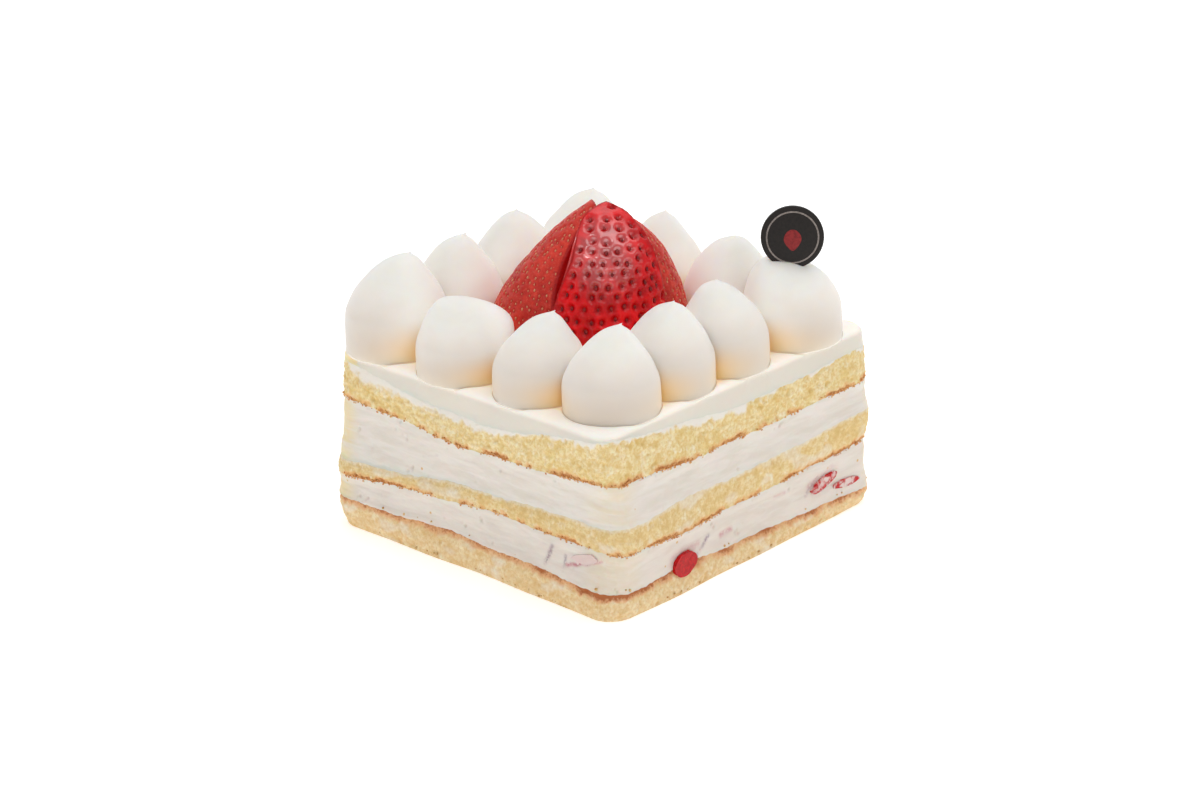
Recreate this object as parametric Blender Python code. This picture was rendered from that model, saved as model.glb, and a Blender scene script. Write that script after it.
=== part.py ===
"""Strawberry shortcake: a small square cake of three sponge sheets and two cream fillings, iced on
top, with twelve piped cream kisses round the top edge, a strawberry cut in four in the middle, a
chocolate disc in the right-hand kiss and strawberry pieces in the lower filling.

The cake stands on z = 0 with the Z axis through its middle. The near corner is at (+X, -Y).
Sizes are written in millimetres, and finish() brings each mesh to metres.
"""

import math

import bmesh
import bpy
from mathutils import Matrix, Vector, noise
from mathutils.bvhtree import BVHTree

MM = 0.001
GAP = 0.3
SHARP_ANGLE = 40

# The square plan
SIDE = 105.0
CORNER_RADIUS = 5.0
STRAIGHT_STEPS = 10
CORNER_STEPS = 4
QUARTER_STEPS = 2 * STRAIGHT_STEPS + CORNER_STEPS
RIM_STEPS = 4 * QUARTER_STEPS
STATIONS = 8
DRUM_RING = 0.1

# Each level is a surface between two sheets. Its row gives the rim's height at eight stations: the
# middle of the +X side, the right corner, the middle of +Y, the back corner, the middle of -X, the
# left corner, the middle of -Y and the near corner. PUSH says how far the rim stands out there, and
# NEAR_SKEW how far the near corner slips along +X and +Y. RIM_WAVE adds a small wander to both.
HEIGHT = {
    "floor": (0, 0, 0, 0, 0, 0, 0, 0),
    "base_top": (6.4, 5.6, 6.8, 7.5, 9.0, 9.4, 9.2, 8.0),
    "lower_cream_top": (17.5, 20.0, 18.5, 17.0, 16.2, 15.8, 19.4, 18.8),
    "middle_top": (26.4, 29.6, 28.0, 25.5, 22.5, 20.8, 24.3, 26.6),
    "upper_cream_top": (36.6, 38.4, 37.0, 38.0, 38.8, 39.4, 36.2, 38.6),
    "top_sponge_edge": (46.0, 48.6, 47.0, 48.4, 47.0, 50.8, 44.6, 49.0),
}
PUSH = {
    "floor": (-0.2, 0.8, 0.8, 1.6, 0.8, 2.8, 1.8, 2.4),
    "base_top": (0.8, 2.6, 1.2, 2.2, 1.4, 4.2, 1.4, 2.4),
    "lower_cream_top": (0.6, 2.0, 0.5, 1.6, 0.8, 4.2, 0.6, 1.8),
    "middle_top": (0.8, 3.0, 0.9, 1.4, 0.6, 3.2, 0.2, 1.2),
    "upper_cream_top": (0.3, 2.6, 0.2, 0.9, 0.0, 1.4, 0.0, 0.9),
    "top_sponge_edge": (0.0, 1.6, 0.0, 0.4, -0.4, 0.2, -0.2, 0.0),
}
NEAR_SKEW = {"lower_cream_top": 2.4, "middle_top": 2.2, "upper_cream_top": 1.5, "base_top": 0.5}
RIM_WAVE = 0.45
RIM_WAVE_COUNTS = (5, 9, 14)
RIM_WAVE_SHIFT = 1.7
RIM_KEY_SHIFT = 2.9
PLAN_KEY = 10
INNER_PUSH = 0.5
CORNER_SHRINK = 0.4
CORNER_LEAST = 2.0
SKEW_FADE = 1.5

# Rings towards the middle of a level, where it becomes a flat plane
RING_INSETS = {"floor": (), "top_sponge_edge": (1.8, 4.5)}
PLAIN_INSETS = (4.0,)
TOP_SPONGE_FLAT = 49.8
TOP_SPONGE_SHOULDER = 0.75

# Sheet name, level below, level above, how far its side swells, roughness of its side
SHEETS = (
    ("sponge_base", "floor", "base_top", 0.5, 0.30),
    ("cream_lower", "base_top", "lower_cream_top", -0.7, 0.14),
    ("sponge_middle", "lower_cream_top", "middle_top", 0.4, 0.34),
    ("cream_upper", "middle_top", "upper_cream_top", -0.6, 0.14),
    ("sponge_top", "upper_cream_top", "top_sponge_edge", 0.2, 0.38),
)
SIDE_ROWS = 3
SIDE_GRAIN = (0.61, 1.3)

# The icing's flat top, and its shoulder's depth and width at the eight stations
PLATEAU = 53.3
PLATEAU_SLOPE = (0.0057, 0.0086)
SHOULDER_DROP = (1.7, 2.2, 2.4, 3.0, 3.0, 1.9, 3.4, 3.4)
SHOULDER_WIDTH = (2.6, 4.2, 3.6, 5.0, 4.6, 4.2, 4.6, 6.4)
SHOULDER_PROFILE = ((0.0, 1.0), (0.22, 0.45), (0.55, 0.12), (1.0, 0.0))
ICING_LEAST = 0.7
ICING_ROWS = 2
ICING_SWELL = 0.3

# Kiss name, centre x and y, radius, height, tip lean in x and y, and how pointed it is
KISSES = (
    ("kiss_left", -41.2, -39.4, 15.0, 28.2, 3.4, 2.6, 0.7),
    ("kiss_front_a", -12.5, -40.5, 13.9, 20.4, -4.6, -1.8, 0.5),
    ("kiss_front_b", 15.2, -39.0, 13.3, 23.4, 2.4, 2.4, 1.0),
    ("kiss_near", 38.8, -35.7, 13.4, 24.4, 1.8, 1.4, 1.0),
    ("kiss_side_a", 39.4, -14.2, 13.0, 25.0, 2.2, -0.6, 0.8),
    ("kiss_side_b", 40.4, 6.8, 13.0, 24.8, -1.0, -2.0, 0.8),
    ("kiss_right", 41.8, 34.0, 14.2, 22.6, -2.6, -2.6, 0.0),
    ("kiss_far_a", 18.7, 34.1, 13.6, 24.6, 0.4, 0.4, 0.5),
    ("kiss_far_b", -9.9, 36.3, 12.7, 25.6, 0.3, 0.3, 1.0),
    ("kiss_back", -40.0, 35.2, 14.8, 26.5, 1.8, 1.4, 0.9),
    ("kiss_rear_a", -41.7, 9.1, 14.2, 26.9, -0.5, -0.7, 0.8),
    ("kiss_rear_b", -41.2, -15.8, 13.4, 27.1, 2.2, 1.2, 0.9),
)
KISS_SEGMENTS = 16
FOOT_PROBES = 8
FOOT_REACH = 3.6
FOOT_BLEND = 3
LEAN_POWER = 4
# Radius, then height of a pointed kiss and of a domed one, ring by ring from the foot to the tip
KISS_PROFILE = (
    (0.00, 0.00, 0.00),
    (0.86, 0.00, 0.00),
    (0.98, 0.05, 0.06),
    (1.00, 0.16, 0.19),
    (0.98, 0.33, 0.40),
    (0.90, 0.46, 0.56),
    (0.74, 0.62, 0.75),
    (0.52, 0.77, 0.885),
    (0.26, 0.905, 0.965),
    (0.06, 0.975, 0.995),
    (0.00, 1.00, 1.00),
)

# Strawberry pieces: name, foot x and y, tip x, y and z, radius, how many times that the piece
# reaches out in its middle, and the azimuths in degrees that bound it, each with the angle by which
# that cut leans away from its neighbour
BERRY_AXIS = (-1.0, 2.0)
BERRIES = (
    ("strawberry_front", 4.2, -5.4, 3.6, 0.6, 94.4, 19.8, 1.0, (-86, 12.0), (6, 2.0)),
    ("strawberry_right", 8.6, 8.2, 5.0, 4.6, 89.8, 14.2, 1.0, (6, 2.0), (85, 2.0)),
    ("strawberry_back", -6.0, 7.6, -1.6, 5.4, 88.6, 13.6, 1.0, (85, 2.0), (150, 2.0)),
    ("strawberry_left", -11.0, -11.0, 1.8, 3.4, 95.4, 16.0, 1.18, (150, 2.0), (274, -6.0)),
)
BERRY_GAP = 0.5
BERRY_LIFT = 0.45
BERRY_SEGMENTS = 22
# Radius and place along the strawberry's length, from its cut stem end to its tip, and the fuller
# and the slimmer outline of two of the pieces
BERRY_PROFILE = (
    (0.00, 0.00),
    (0.86, 0.00),
    (0.98, 0.10),
    (1.00, 0.24),
    (0.97, 0.38),
    (0.90, 0.52),
    (0.79, 0.65),
    (0.64, 0.77),
    (0.46, 0.87),
    (0.26, 0.95),
    (0.00, 1.00),
)
BERRY_WIDTHS = {
    "strawberry_front": (0.00, 0.86, 0.98, 1.00, 0.98, 0.93, 0.85, 0.74, 0.60, 0.42, 0.00),
    "strawberry_left": (0.00, 0.86, 0.98, 1.00, 0.96, 0.86, 0.73, 0.57, 0.40, 0.22, 0.00),
}
# The narrow third cut of the left piece: a point on it, the azimuth that it faces and its rise
BAND_POINT = (2.8, -20.8, 61.5)
BAND_FACING, BAND_RISE = -25, 0.29

# The chocolate disc: centre, radius, thickness, the azimuth that it faces and its backward tilt
DISC_CENTRE = (42.6, 34.0, 83.1)
DISC_RADIUS = 9.0
DISC_THICKNESS = 1.8
DISC_EDGE = 0.25
DISC_FACING = -45
DISC_TILT = 8
DISC_SEGMENTS = 40

# Strawberry pieces in the lower filling: station round the rim, height, half width along the side,
# half height, half depth and slant in degrees
FRUIT_PIECES = (
    (-0.42, 8.0, 4.0, 3.0, 4.0, 12),
    (0.62, 12.2, 5.6, 1.7, 4.5, 16),
    (0.86, 9.2, 5.2, 1.4, 4.0, 6),
    (2.45, 12.6, 5.0, 1.8, 4.5, -8),
    (3.60, 12.0, 3.8, 2.4, 4.0, 12),
    (4.55, 12.8, 5.0, 1.5, 4.5, -6),
    (6.73, 15.4, 5.2, 1.6, 4.5, 18),
)
FRUIT_PROUD = 0.35
FRUIT_SEGMENTS = 10
FRUIT_RINGS = 7
FRUIT_KNOB = 0.12
FRUIT_GRAIN = 1.7
POCKET_GAP = 0.42

COLOURS = {
    "sponge": ((0.86, 0.74, 0.44), 0.9),
    "cream": ((0.87, 0.84, 0.80), 0.45),
    "icing": ((0.90, 0.88, 0.84), 0.4),
    "berry": ((0.62, 0.03, 0.03), 0.3),
    "chocolate": ((0.045, 0.035, 0.03), 0.35),
}


def blend(a, b, t):
    return a + (b - a) * t


def at_station(row, station):
    """Smooth value between the eight stations round the cake (a Catmull-Rom curve)."""
    k = math.floor(station)
    t = station - k
    p, q, r, s = (row[(k + j) % STATIONS] for j in (-1, 0, 1, 2))
    return 0.5 * (2 * q + (r - p) * t + (2 * p - 5 * q + 4 * r - s) * t * t + (3 * q - p - 3 * r + s) * t**3)


def outline(step, inset):
    """Point and outward direction at one rim step of the rounded square, shrunk by inset."""
    half = SIDE / 2 - inset
    radius = max(CORNER_RADIUS - CORNER_SHRINK * inset, CORNER_LEAST)
    run = half - radius
    quarter, along = divmod(step % RIM_STEPS, QUARTER_STEPS)
    if along <= STRAIGHT_STEPS:
        point = Vector((half, run * along / STRAIGHT_STEPS))
        outward = Vector((1, 0))
    elif along < STRAIGHT_STEPS + CORNER_STEPS:
        angle = math.pi / 2 * (along - STRAIGHT_STEPS) / CORNER_STEPS
        outward = Vector((math.cos(angle), math.sin(angle)))
        point = Vector((run, run)) + radius * outward
    else:
        point = Vector((run * (QUARTER_STEPS - along) / STRAIGHT_STEPS, half))
        outward = Vector((0, 1))
    turn = Matrix.Rotation(math.pi / 2 * quarter, 2)
    return turn @ point, turn @ outward


def station_of(step):
    return STATIONS * (step % RIM_STEPS) / RIM_STEPS


def ripple(step, key):
    """Smooth wander from -1 to 1 round the rim, different for each key."""
    turn = 2 * math.pi * step / RIM_STEPS
    waves = [
        math.sin(count * turn + RIM_WAVE_SHIFT * n + RIM_KEY_SHIFT * key)
        for n, count in enumerate(RIM_WAVE_COUNTS)
    ]
    return sum(waves) / len(waves)


def skewed(point, level, step):
    """Slip the near corner sideways, fading out towards the middles of its two sides."""
    away = abs(station_of(step) - (STATIONS - 1))
    fade = max(0.0, 1 - away) ** SKEW_FADE
    slip = NEAR_SKEW.get(level, 0.0) * fade
    return point + Vector((slip, slip))


def rim_point(level, step, inset=0.0):
    """Where a level's rim, or its ring at an inset, stands in plan."""
    point, outward = outline(step, inset)
    fade = 1 if inset == 0 else INNER_PUSH
    key = list(HEIGHT).index(level)
    push = at_station(PUSH[level], station_of(step)) + RIM_WAVE * ripple(step, key + PLAN_KEY)
    return skewed(point + outward * push * fade, level, step)


def flat_height(level, point):
    """Height of the plane that a level's middle lies in."""
    if level == "top_sponge_edge":
        return TOP_SPONGE_FLAT
    row = HEIGHT[level]
    slope_x = (row[0] + row[1] + row[7] - row[3] - row[4] - row[5]) / (3 * SIDE)
    slope_y = (row[1] + row[2] + row[3] - row[5] - row[6] - row[7]) / (3 * SIDE)
    return sum(row) / STATIONS + slope_x * point.x + slope_y * point.y


def rim_height(level, step):
    if level == "floor":
        return 0.0
    key = list(HEIGHT).index(level)
    return at_station(HEIGHT[level], station_of(step)) + RIM_WAVE * ripple(step, key)


def level_vertex(level, step, ring):
    """A vertex of a level: ring 0 is its rim, higher rings lie further in."""
    if ring == 0:
        point = rim_point(level, step)
        return Vector((point.x, point.y, rim_height(level, step)))
    insets = RING_INSETS.get(level, PLAIN_INSETS)
    point = rim_point(level, step, insets[ring - 1])
    height = flat_height(level, point)
    if ring < len(insets):
        height = blend(rim_height(level, step), height, TOP_SPONGE_SHOULDER)
    return Vector((point.x, point.y, height))


def drum(rows, rings_below, rings_above):
    """A closed drum with RIM_STEPS sides. Returns the mesh and each vertex's (step, row, ring)."""
    bm = bmesh.new()
    bmesh.ops.create_cone(
        bm, cap_ends=True, cap_tris=False, segments=RIM_STEPS, radius1=1, radius2=1, depth=2)
    upright = [e for e in bm.edges if abs(e.verts[0].co.z - e.verts[1].co.z) > 1]
    bmesh.ops.subdivide_edges(bm, edges=upright, cuts=rows - 1)
    for end, rings in ((-1, rings_below), (1, rings_above)):
        cap = [f for f in bm.faces if f.normal.z * end > 0.5]
        for ring in range(rings):
            bmesh.ops.inset_region(bm, faces=cap, thickness=DRUM_RING)
    bm.verts.ensure_lookup_table()
    places = []
    for v in bm.verts:
        turn = math.atan2(v.co.y, v.co.x) / (2 * math.pi)
        step = round(turn * RIM_STEPS) % RIM_STEPS
        row = round((v.co.z + 1) / 2 * rows)
        ring = round((1 - v.co.to_2d().length) / DRUM_RING)
        places.append((v, step, row, ring))
    return bm, places


def sheet(name, below, above, swell, roughness):
    """One sheet of sponge or cream between two levels."""
    bm, places = drum(
        SIDE_ROWS, len(RING_INSETS.get(below, PLAIN_INSETS)), len(RING_INSETS.get(above, PLAIN_INSETS)))
    lift = Vector((0, 0, 0 if below == "floor" else GAP))
    for v, step, row, ring in places:
        if row == 0:
            v.co = level_vertex(below, step, ring) + lift
        elif row == SIDE_ROWS:
            v.co = level_vertex(above, step, ring)
        else:
            share = row / SIDE_ROWS
            v.co = (level_vertex(below, step, 0) + lift).lerp(level_vertex(above, step, 0), share)
            outward = outline(step, 0)[1]
            grain = noise.noise(Vector((step * SIDE_GRAIN[0], row * SIDE_GRAIN[1], v.co.z)))
            v.co += outward.to_3d() * (swell + 2 * roughness * grain)
    return finish(name, bm, "sponge" if name.startswith("sponge") else "cream")


def plateau_height(x, y):
    return PLATEAU + PLATEAU_SLOPE[0] * x + PLATEAU_SLOPE[1] * y


def icing():
    """The icing: a skirt down the sides, a rounded shoulder and a flat top. Returns its surface."""
    bm, places = drum(ICING_ROWS, len(RING_INSETS["top_sponge_edge"]), len(SHOULDER_PROFILE) - 1)
    level = "top_sponge_edge"
    for v, step, row, ring in places:
        foot = level_vertex(level, step, ring if row == 0 else 0) + Vector((0, 0, GAP))
        if row == 0:
            v.co = foot
            continue
        station = station_of(step)
        share, left = SHOULDER_PROFILE[ring]
        point, outward = outline(step, share * at_station(SHOULDER_WIDTH, station))
        point = point + outward * at_station(PUSH[level], station) * (1 - share)
        top = plateau_height(*point) - at_station(SHOULDER_DROP, station) * left
        v.co = Vector((point.x, point.y, max(top, foot.z + ICING_LEAST)))
        if row < ICING_ROWS:
            v.co = foot.lerp(v.co, row / ICING_ROWS) + outward.to_3d() * ICING_SWELL
    surface = BVHTree.FromBMesh(bm)
    finish("icing_top", bm, "icing")
    return surface


def resting_height(surface, x, y):
    """Lowest height at which a foot clears the icing at a point and just round it."""
    highest = plateau_height(x, y) - max(SHOULDER_DROP)
    for n in range(FOOT_PROBES):
        turn = Matrix.Rotation(2 * math.pi * n / FOOT_PROBES, 2)
        probe = Vector((x, y)) + turn @ Vector((FOOT_REACH, 0))
        hit = surface.ray_cast(Vector((*probe, 2 * PLATEAU)), Vector((0, 0, -1)))[0]
        if hit:
            highest = max(highest, hit.z)
    return highest + GAP


def cut_flat(bm, point, normal):
    """Cut away what lies beyond a plane and close the cut."""
    everything = bm.verts[:] + bm.edges[:] + bm.faces[:]
    cut = bmesh.ops.bisect_plane(
        bm, geom=everything, dist=1e-6, plane_co=point, plane_no=normal, clear_outer=True)
    rim = [e for e in cut["geom_cut"] if isinstance(e, bmesh.types.BMEdge)]
    if rim:
        bmesh.ops.holes_fill(bm, edges=rim, sides=0)


def kiss(row, neighbours, surface):
    """A piped kiss, pressed flat where its neighbours touch it."""
    name, x, y, radius, height, lean_x, lean_y, point = row
    rings = len(KISS_PROFILE) - 1
    bm = bmesh.new()
    bmesh.ops.create_uvsphere(bm, u_segments=KISS_SEGMENTS, v_segments=rings, radius=1)
    for v in bm.verts:
        ring = round(math.acos(max(-1, min(1, -v.co.z))) / math.pi * rings)
        turn = math.atan2(v.co.y, v.co.x)
        out, pointed, domed = KISS_PROFILE[ring]
        up = blend(domed, pointed, point)
        v.co.x = x + out * radius * math.cos(turn) + lean_x * up**LEAN_POWER
        v.co.y = y + out * radius * math.sin(turn) + lean_y * up**LEAN_POWER
        foot = resting_height(surface, v.co.x, v.co.y)
        v.co.z = blend(foot, plateau_height(x, y) + GAP, min(1, FOOT_BLEND * up)) + up * height
    for other in neighbours:
        across = Vector((other[1] - x, other[2] - y, 0))
        span = across.length
        share = (span * span + radius * radius - other[3] * other[3]) / (2 * span)
        middle = Vector((x, y, 0)) + across / span * (share - GAP / 2)
        cut_flat(bm, middle, across)
    return finish(name, bm, "cream")


def kisses(surface):
    made = {}
    for n, row in enumerate(KISSES):
        neighbours = (KISSES[n - 1], KISSES[(n + 1) % len(KISSES)])
        made[row[0]] = kiss(row, neighbours, surface)
    return made


def strawberry(name, foot_x, foot_y, tip_x, tip_y, tip_z, radius, reach, first, last):
    """A standing piece of strawberry: its round outer side, and two cuts towards the middle."""
    rings = len(BERRY_PROFILE) - 1
    widths = BERRY_WIDTHS.get(name)
    foot = Vector((foot_x, foot_y, plateau_height(foot_x, foot_y) + BERRY_LIFT))
    tip = Vector((tip_x, tip_y, tip_z))
    middle = math.radians((first[0] + last[0]) / 2)
    stretch = Matrix.Scale(reach, 3, Vector((math.cos(middle), math.sin(middle), 0)))
    bm = bmesh.new()
    bmesh.ops.create_uvsphere(bm, u_segments=BERRY_SEGMENTS, v_segments=rings, radius=1)
    for v in bm.verts:
        ring = round(math.acos(max(-1, min(1, -v.co.z))) / math.pi * rings)
        turn = math.atan2(v.co.y, v.co.x)
        out, along = BERRY_PROFILE[ring]
        out = widths[ring] if widths else out
        spot = foot.lerp(tip, along)
        v.co = spot + stretch @ Vector((math.cos(turn), math.sin(turn), 0)) * out * radius
        v.co.z = max(v.co.z, plateau_height(v.co.x, v.co.y) + BERRY_LIFT)
    pivot = Vector((*BERRY_AXIS, PLATEAU))
    for (azimuth, lean), side in ((first, -1), (last, 1)):
        angle = math.radians(azimuth)
        normal = Vector((-math.sin(angle), math.cos(angle), 0)) * side
        cut_flat(bm, pivot - normal * BERRY_GAP / 2, normal + Vector((0, 0, math.tan(math.radians(lean)))))
    if name == "strawberry_left":
        band = math.radians(BAND_FACING)
        cut_flat(bm, Vector(BAND_POINT), Vector((math.cos(band), math.sin(band), BAND_RISE)))
    return finish(name, bm, "berry")


def disc_mesh(radius, thickness):
    bm = bmesh.new()
    bmesh.ops.create_cone(
        bm, cap_ends=True, segments=DISC_SEGMENTS, radius1=radius, radius2=radius, depth=thickness)
    rims = [e for e in bm.edges if e.verts[0].co.z * e.verts[1].co.z > 0]
    bmesh.ops.bevel(bm, geom=rims, offset=DISC_EDGE, segments=1, affect="EDGES")
    stand = Matrix.Rotation(math.radians(90 + DISC_FACING), 4, "Z") @ Matrix.Rotation(
        math.radians(90 - DISC_TILT), 4, "X")
    bm.transform(Matrix.Translation(DISC_CENTRE) @ stand)
    return bm


def disc(holder):
    """The chocolate disc, and its slot in the kiss that holds it."""
    made = finish("chocolate_disc", disc_mesh(DISC_RADIUS, DISC_THICKNESS), "chocolate")
    slot = finish("disc_slot", disc_mesh(DISC_RADIUS + GAP, DISC_THICKNESS + 2 * GAP), None)
    cut_out(holder, slot)
    return made


def side_place(station, height):
    """Point on the lower filling's side, and the direction out of it."""
    step = round(station * RIM_STEPS / STATIONS)
    low = level_vertex("base_top", step, 0)
    high = level_vertex("lower_cream_top", step, 0)
    share = (height - low.z) / (high.z - low.z)
    swell = next(row[3] for row in SHEETS if row[0] == "cream_lower")
    outward = outline(step, 0)[1].to_3d()
    return low.lerp(high, share) + outward * swell, outward


def fruit_mesh(row, grow):
    station, height, half_width, half_height, half_depth, slant = row
    spot, outward = side_place(station, height)
    bm = bmesh.new()
    bmesh.ops.create_uvsphere(bm, u_segments=FRUIT_SEGMENTS, v_segments=FRUIT_RINGS, radius=1)
    bmesh.ops.rotate(bm, verts=bm.verts, matrix=Matrix.Rotation(math.pi / 2, 3, "Y"))
    for v in bm.verts:
        v.co *= 1 + FRUIT_KNOB * noise.noise(v.co * FRUIT_GRAIN + Vector((height, 0, 0)))
        v.co.x *= half_depth + grow
        v.co.y *= half_width + grow
        v.co.z *= half_height + grow
    facing = math.atan2(outward.y, outward.x)
    turn = Matrix.Rotation(facing, 4, "Z") @ Matrix.Rotation(math.radians(slant), 4, "X")
    bm.transform(Matrix.Translation(spot) @ turn)
    if not grow:
        cut_flat(bm, spot + outward * FRUIT_PROUD, outward)
    return bm


def fruit(number, row, holders):
    """A piece of strawberry in the lower filling, cut flush with the cake's side, in its own pocket."""
    name = f"fruit_piece_{number}"
    made = finish(name, fruit_mesh(row, 0), "berry")
    pocket = finish(f"pocket_{number}", fruit_mesh(row, POCKET_GAP), None)
    for holder in holders:
        cut_out(holder, pocket)
    return made


def cut_out(piece, cutter):
    cut = piece.modifiers.new(cutter.name, "BOOLEAN")
    cut.object = cutter
    cut.operation = "DIFFERENCE"
    cut.solver = "EXACT"


def material(kind):
    if kind in bpy.data.materials:
        return bpy.data.materials[kind]
    colour, roughness = COLOURS[kind]
    made = bpy.data.materials.new(kind)
    made.use_nodes = True
    shader = made.node_tree.nodes["Principled BSDF"]
    shader.inputs["Base Color"].default_value = (*colour, 1)
    shader.inputs["Roughness"].default_value = roughness
    shader.inputs["Metallic"].default_value = 0
    made.diffuse_color = (*colour, 1)
    return made


def collection(name):
    if name not in bpy.data.collections:
        bpy.context.scene.collection.children.link(bpy.data.collections.new(name))
    return bpy.data.collections[name]


def finish(name, bm, kind):
    """Turn a mesh in millimetres into a named object in metres. Without a kind it is a cutter."""
    bmesh.ops.triangulate(bm, faces=bm.faces, quad_method="SHORT_EDGE")
    bmesh.ops.recalc_face_normals(bm, faces=bm.faces)
    bm.transform(Matrix.Scale(MM, 4))
    mesh = bpy.data.meshes.new(name)
    bm.to_mesh(mesh)
    bm.free()
    made = bpy.data.objects.new(name, mesh)
    if kind:
        mesh.materials.append(material(kind))
        mesh.shade_smooth()
        mesh.set_sharp_from_angle(angle=math.radians(SHARP_ANGLE))
        collection("strawberry_shortcake").objects.link(made)
    else:
        made.hide_render = True
        made.display_type = "WIRE"
        collection("cutters").objects.link(made)
    return made


def main():
    for old in list(bpy.data.objects):
        bpy.data.objects.remove(old)
    sheets = {row[0]: sheet(*row) for row in SHEETS}
    piped = kisses(icing())
    for row in BERRIES:
        strawberry(*row)
    disc(piped["kiss_right"])
    for number, row in enumerate(FRUIT_PIECES, 1):
        fruit(number, row, (sheets["cream_lower"], sheets["sponge_base"]))


main()
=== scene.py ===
# %% [markdown]
# # A strawberry shortcake
# A small square cake stands on a pale table. It has three sheets of sponge, two cream fillings, wiped
# icing, twelve piped kisses of cream, a strawberry cut in four and a thin chocolate disc. The solid
# parts come first, as a frame that says where everything is. Each one then gets its real surface.
# The cake's lengths are in millimetres, and MM turns them into Blender's metres. Lights and floor are
# in metres.

# %% Load the frame
import math
import random

import bpy
import numpy as np
from mathutils import Matrix, Vector, noise
from mathutils.kdtree import KDTree


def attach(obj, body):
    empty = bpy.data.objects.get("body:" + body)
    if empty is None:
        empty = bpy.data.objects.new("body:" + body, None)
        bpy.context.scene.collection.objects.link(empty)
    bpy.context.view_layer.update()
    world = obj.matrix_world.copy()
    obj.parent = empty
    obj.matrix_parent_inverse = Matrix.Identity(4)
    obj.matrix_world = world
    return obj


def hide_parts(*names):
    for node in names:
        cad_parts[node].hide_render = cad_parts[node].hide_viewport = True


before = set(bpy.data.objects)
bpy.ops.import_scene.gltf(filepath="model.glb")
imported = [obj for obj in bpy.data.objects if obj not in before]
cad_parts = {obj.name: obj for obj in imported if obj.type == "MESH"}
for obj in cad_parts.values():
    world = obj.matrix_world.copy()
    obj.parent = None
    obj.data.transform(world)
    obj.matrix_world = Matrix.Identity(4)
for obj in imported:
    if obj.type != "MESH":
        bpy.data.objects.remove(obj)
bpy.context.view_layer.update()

MM = 0.001
print("frame nodes:", len(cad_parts))

# %% [markdown]
# ## Small tools
# Blender's operators act on whatever is selected, so every step starts by clearing the selection and
# taking up one piece. Points are read and written as one array, because a cake side has tens of
# thousands of them.

# %% Selection and points
def clear_selection():
    bpy.ops.object.select_all(action="DESELECT")


def take(piece):
    """Make this piece the only one selected, and the active one."""
    clear_selection()
    piece.select_set(True)
    bpy.context.view_layer.objects.active = piece
    return piece


def points_of(piece):
    flat = np.empty(len(piece.data.vertices) * 3, np.float32)
    piece.data.vertices.foreach_get("co", flat)
    return flat.reshape(-1, 3).astype(float)


def set_points(piece, points):
    piece.data.vertices.foreach_set("co", np.asarray(points, np.float32).ravel())
    piece.data.update()


def paint(piece, **layers):
    """Keep named values on the piece's points, one for each point, for its material to read."""
    for key, values in layers.items():
        layer = piece.data.attributes.new(key, "FLOAT", "POINT")
        layer.data.foreach_set("value", np.asarray(values, np.float32).ravel())


def pick_points(piece, mask):
    """Select only the masked points, and open edit mode with them."""
    take(piece)
    mesh = piece.data
    mesh.polygons.foreach_set("select", np.zeros(len(mesh.polygons), bool))
    mesh.edges.foreach_set("select", np.zeros(len(mesh.edges), bool))
    mesh.vertices.foreach_set("select", np.asarray(mask, bool))
    bpy.context.tool_settings.mesh_select_mode = (True, False, False)
    bpy.ops.object.mode_set(mode="EDIT")
    bpy.ops.mesh.select_mode(type="VERT")


# %% [markdown]
# A finished piece has no doubled points, its faces look outwards, and its object sits at the origin
# with its place in its mesh. That could be seen to at the end, but it is easier to do piece by piece.
# `settle` then gives it its finish, hangs it on the frame's root and hides the frame's solids that it
# stands for.

# %% Finish a piece
SMOOTH_ANGLE = 55


def tidy_mesh(piece, merge=1e-6, sharp=SMOOTH_ANGLE):
    """Merge what lies on top of itself, point every face outwards and shade it smooth."""
    take(piece)
    bpy.ops.object.mode_set(mode="EDIT")
    bpy.ops.mesh.select_all(action="SELECT")
    bpy.ops.mesh.remove_doubles(threshold=merge)
    bpy.ops.mesh.normals_make_consistent(inside=False)
    bpy.ops.object.mode_set(mode="OBJECT")
    bpy.ops.object.shade_smooth_by_angle(angle=math.radians(sharp))
    return piece


def new_piece(name):
    piece = bpy.context.object
    piece.name = name
    piece.data.name = name
    return piece


def settle(piece, slot, material, *nodes):
    """Hand a finished piece to the frame: apply its place, give it its finish and hide the solids that it
    stands for.
    """
    take(piece)
    bpy.ops.object.transform_apply(location=True, rotation=True, scale=True)
    piece.data.materials.clear()
    piece.data.materials.append(material)
    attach(piece, "root")
    if nodes:
        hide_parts(*nodes)
    print(f"{piece.name}: {len(piece.data.polygons)} faces")
    return piece


print("edges sharper than", SMOOTH_ANGLE, "degrees stay sharp")

# %% [markdown]
# Food has no straight edges, so most shapes get a little smooth noise. A displace modifier could add
# it, but noise that is read in code can also be masked and painted. `wander` reads Blender's own
# noise at many points at once, `pores` reads its cells, and `ease` is the usual smooth step.

# %% Noise and easing
def wander(points, size, seed=0.0):
    """Smooth noise from about -1 to 1 at each point, with lumps of the given size in millimetres."""
    flat = points.reshape(-1, 3) / size + seed
    values = np.array([noise.noise(Vector(p)) for p in flat])
    return values.reshape(points.shape[:-1])


def ease(low, high, value):
    """0 up to low, 1 from high on, and a smooth step between."""
    t = np.clip((value - low) / (high - low), 0, 1)
    return t * t * (3 - 2 * t)


def pores(points, size, seed=0.0):
    """1 at the middle of each pore and 0 between pores, with pores about the given size apart."""
    flat = points.reshape(-1, 3) / size + seed
    near = np.array([noise.voronoi(Vector(p))[0][0] for p in flat])
    return (1 - ease(0.12, 0.5, near)).reshape(points.shape[:-1])


print("half-way, the smooth step is at", ease(0, 1, 0.5))

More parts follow.
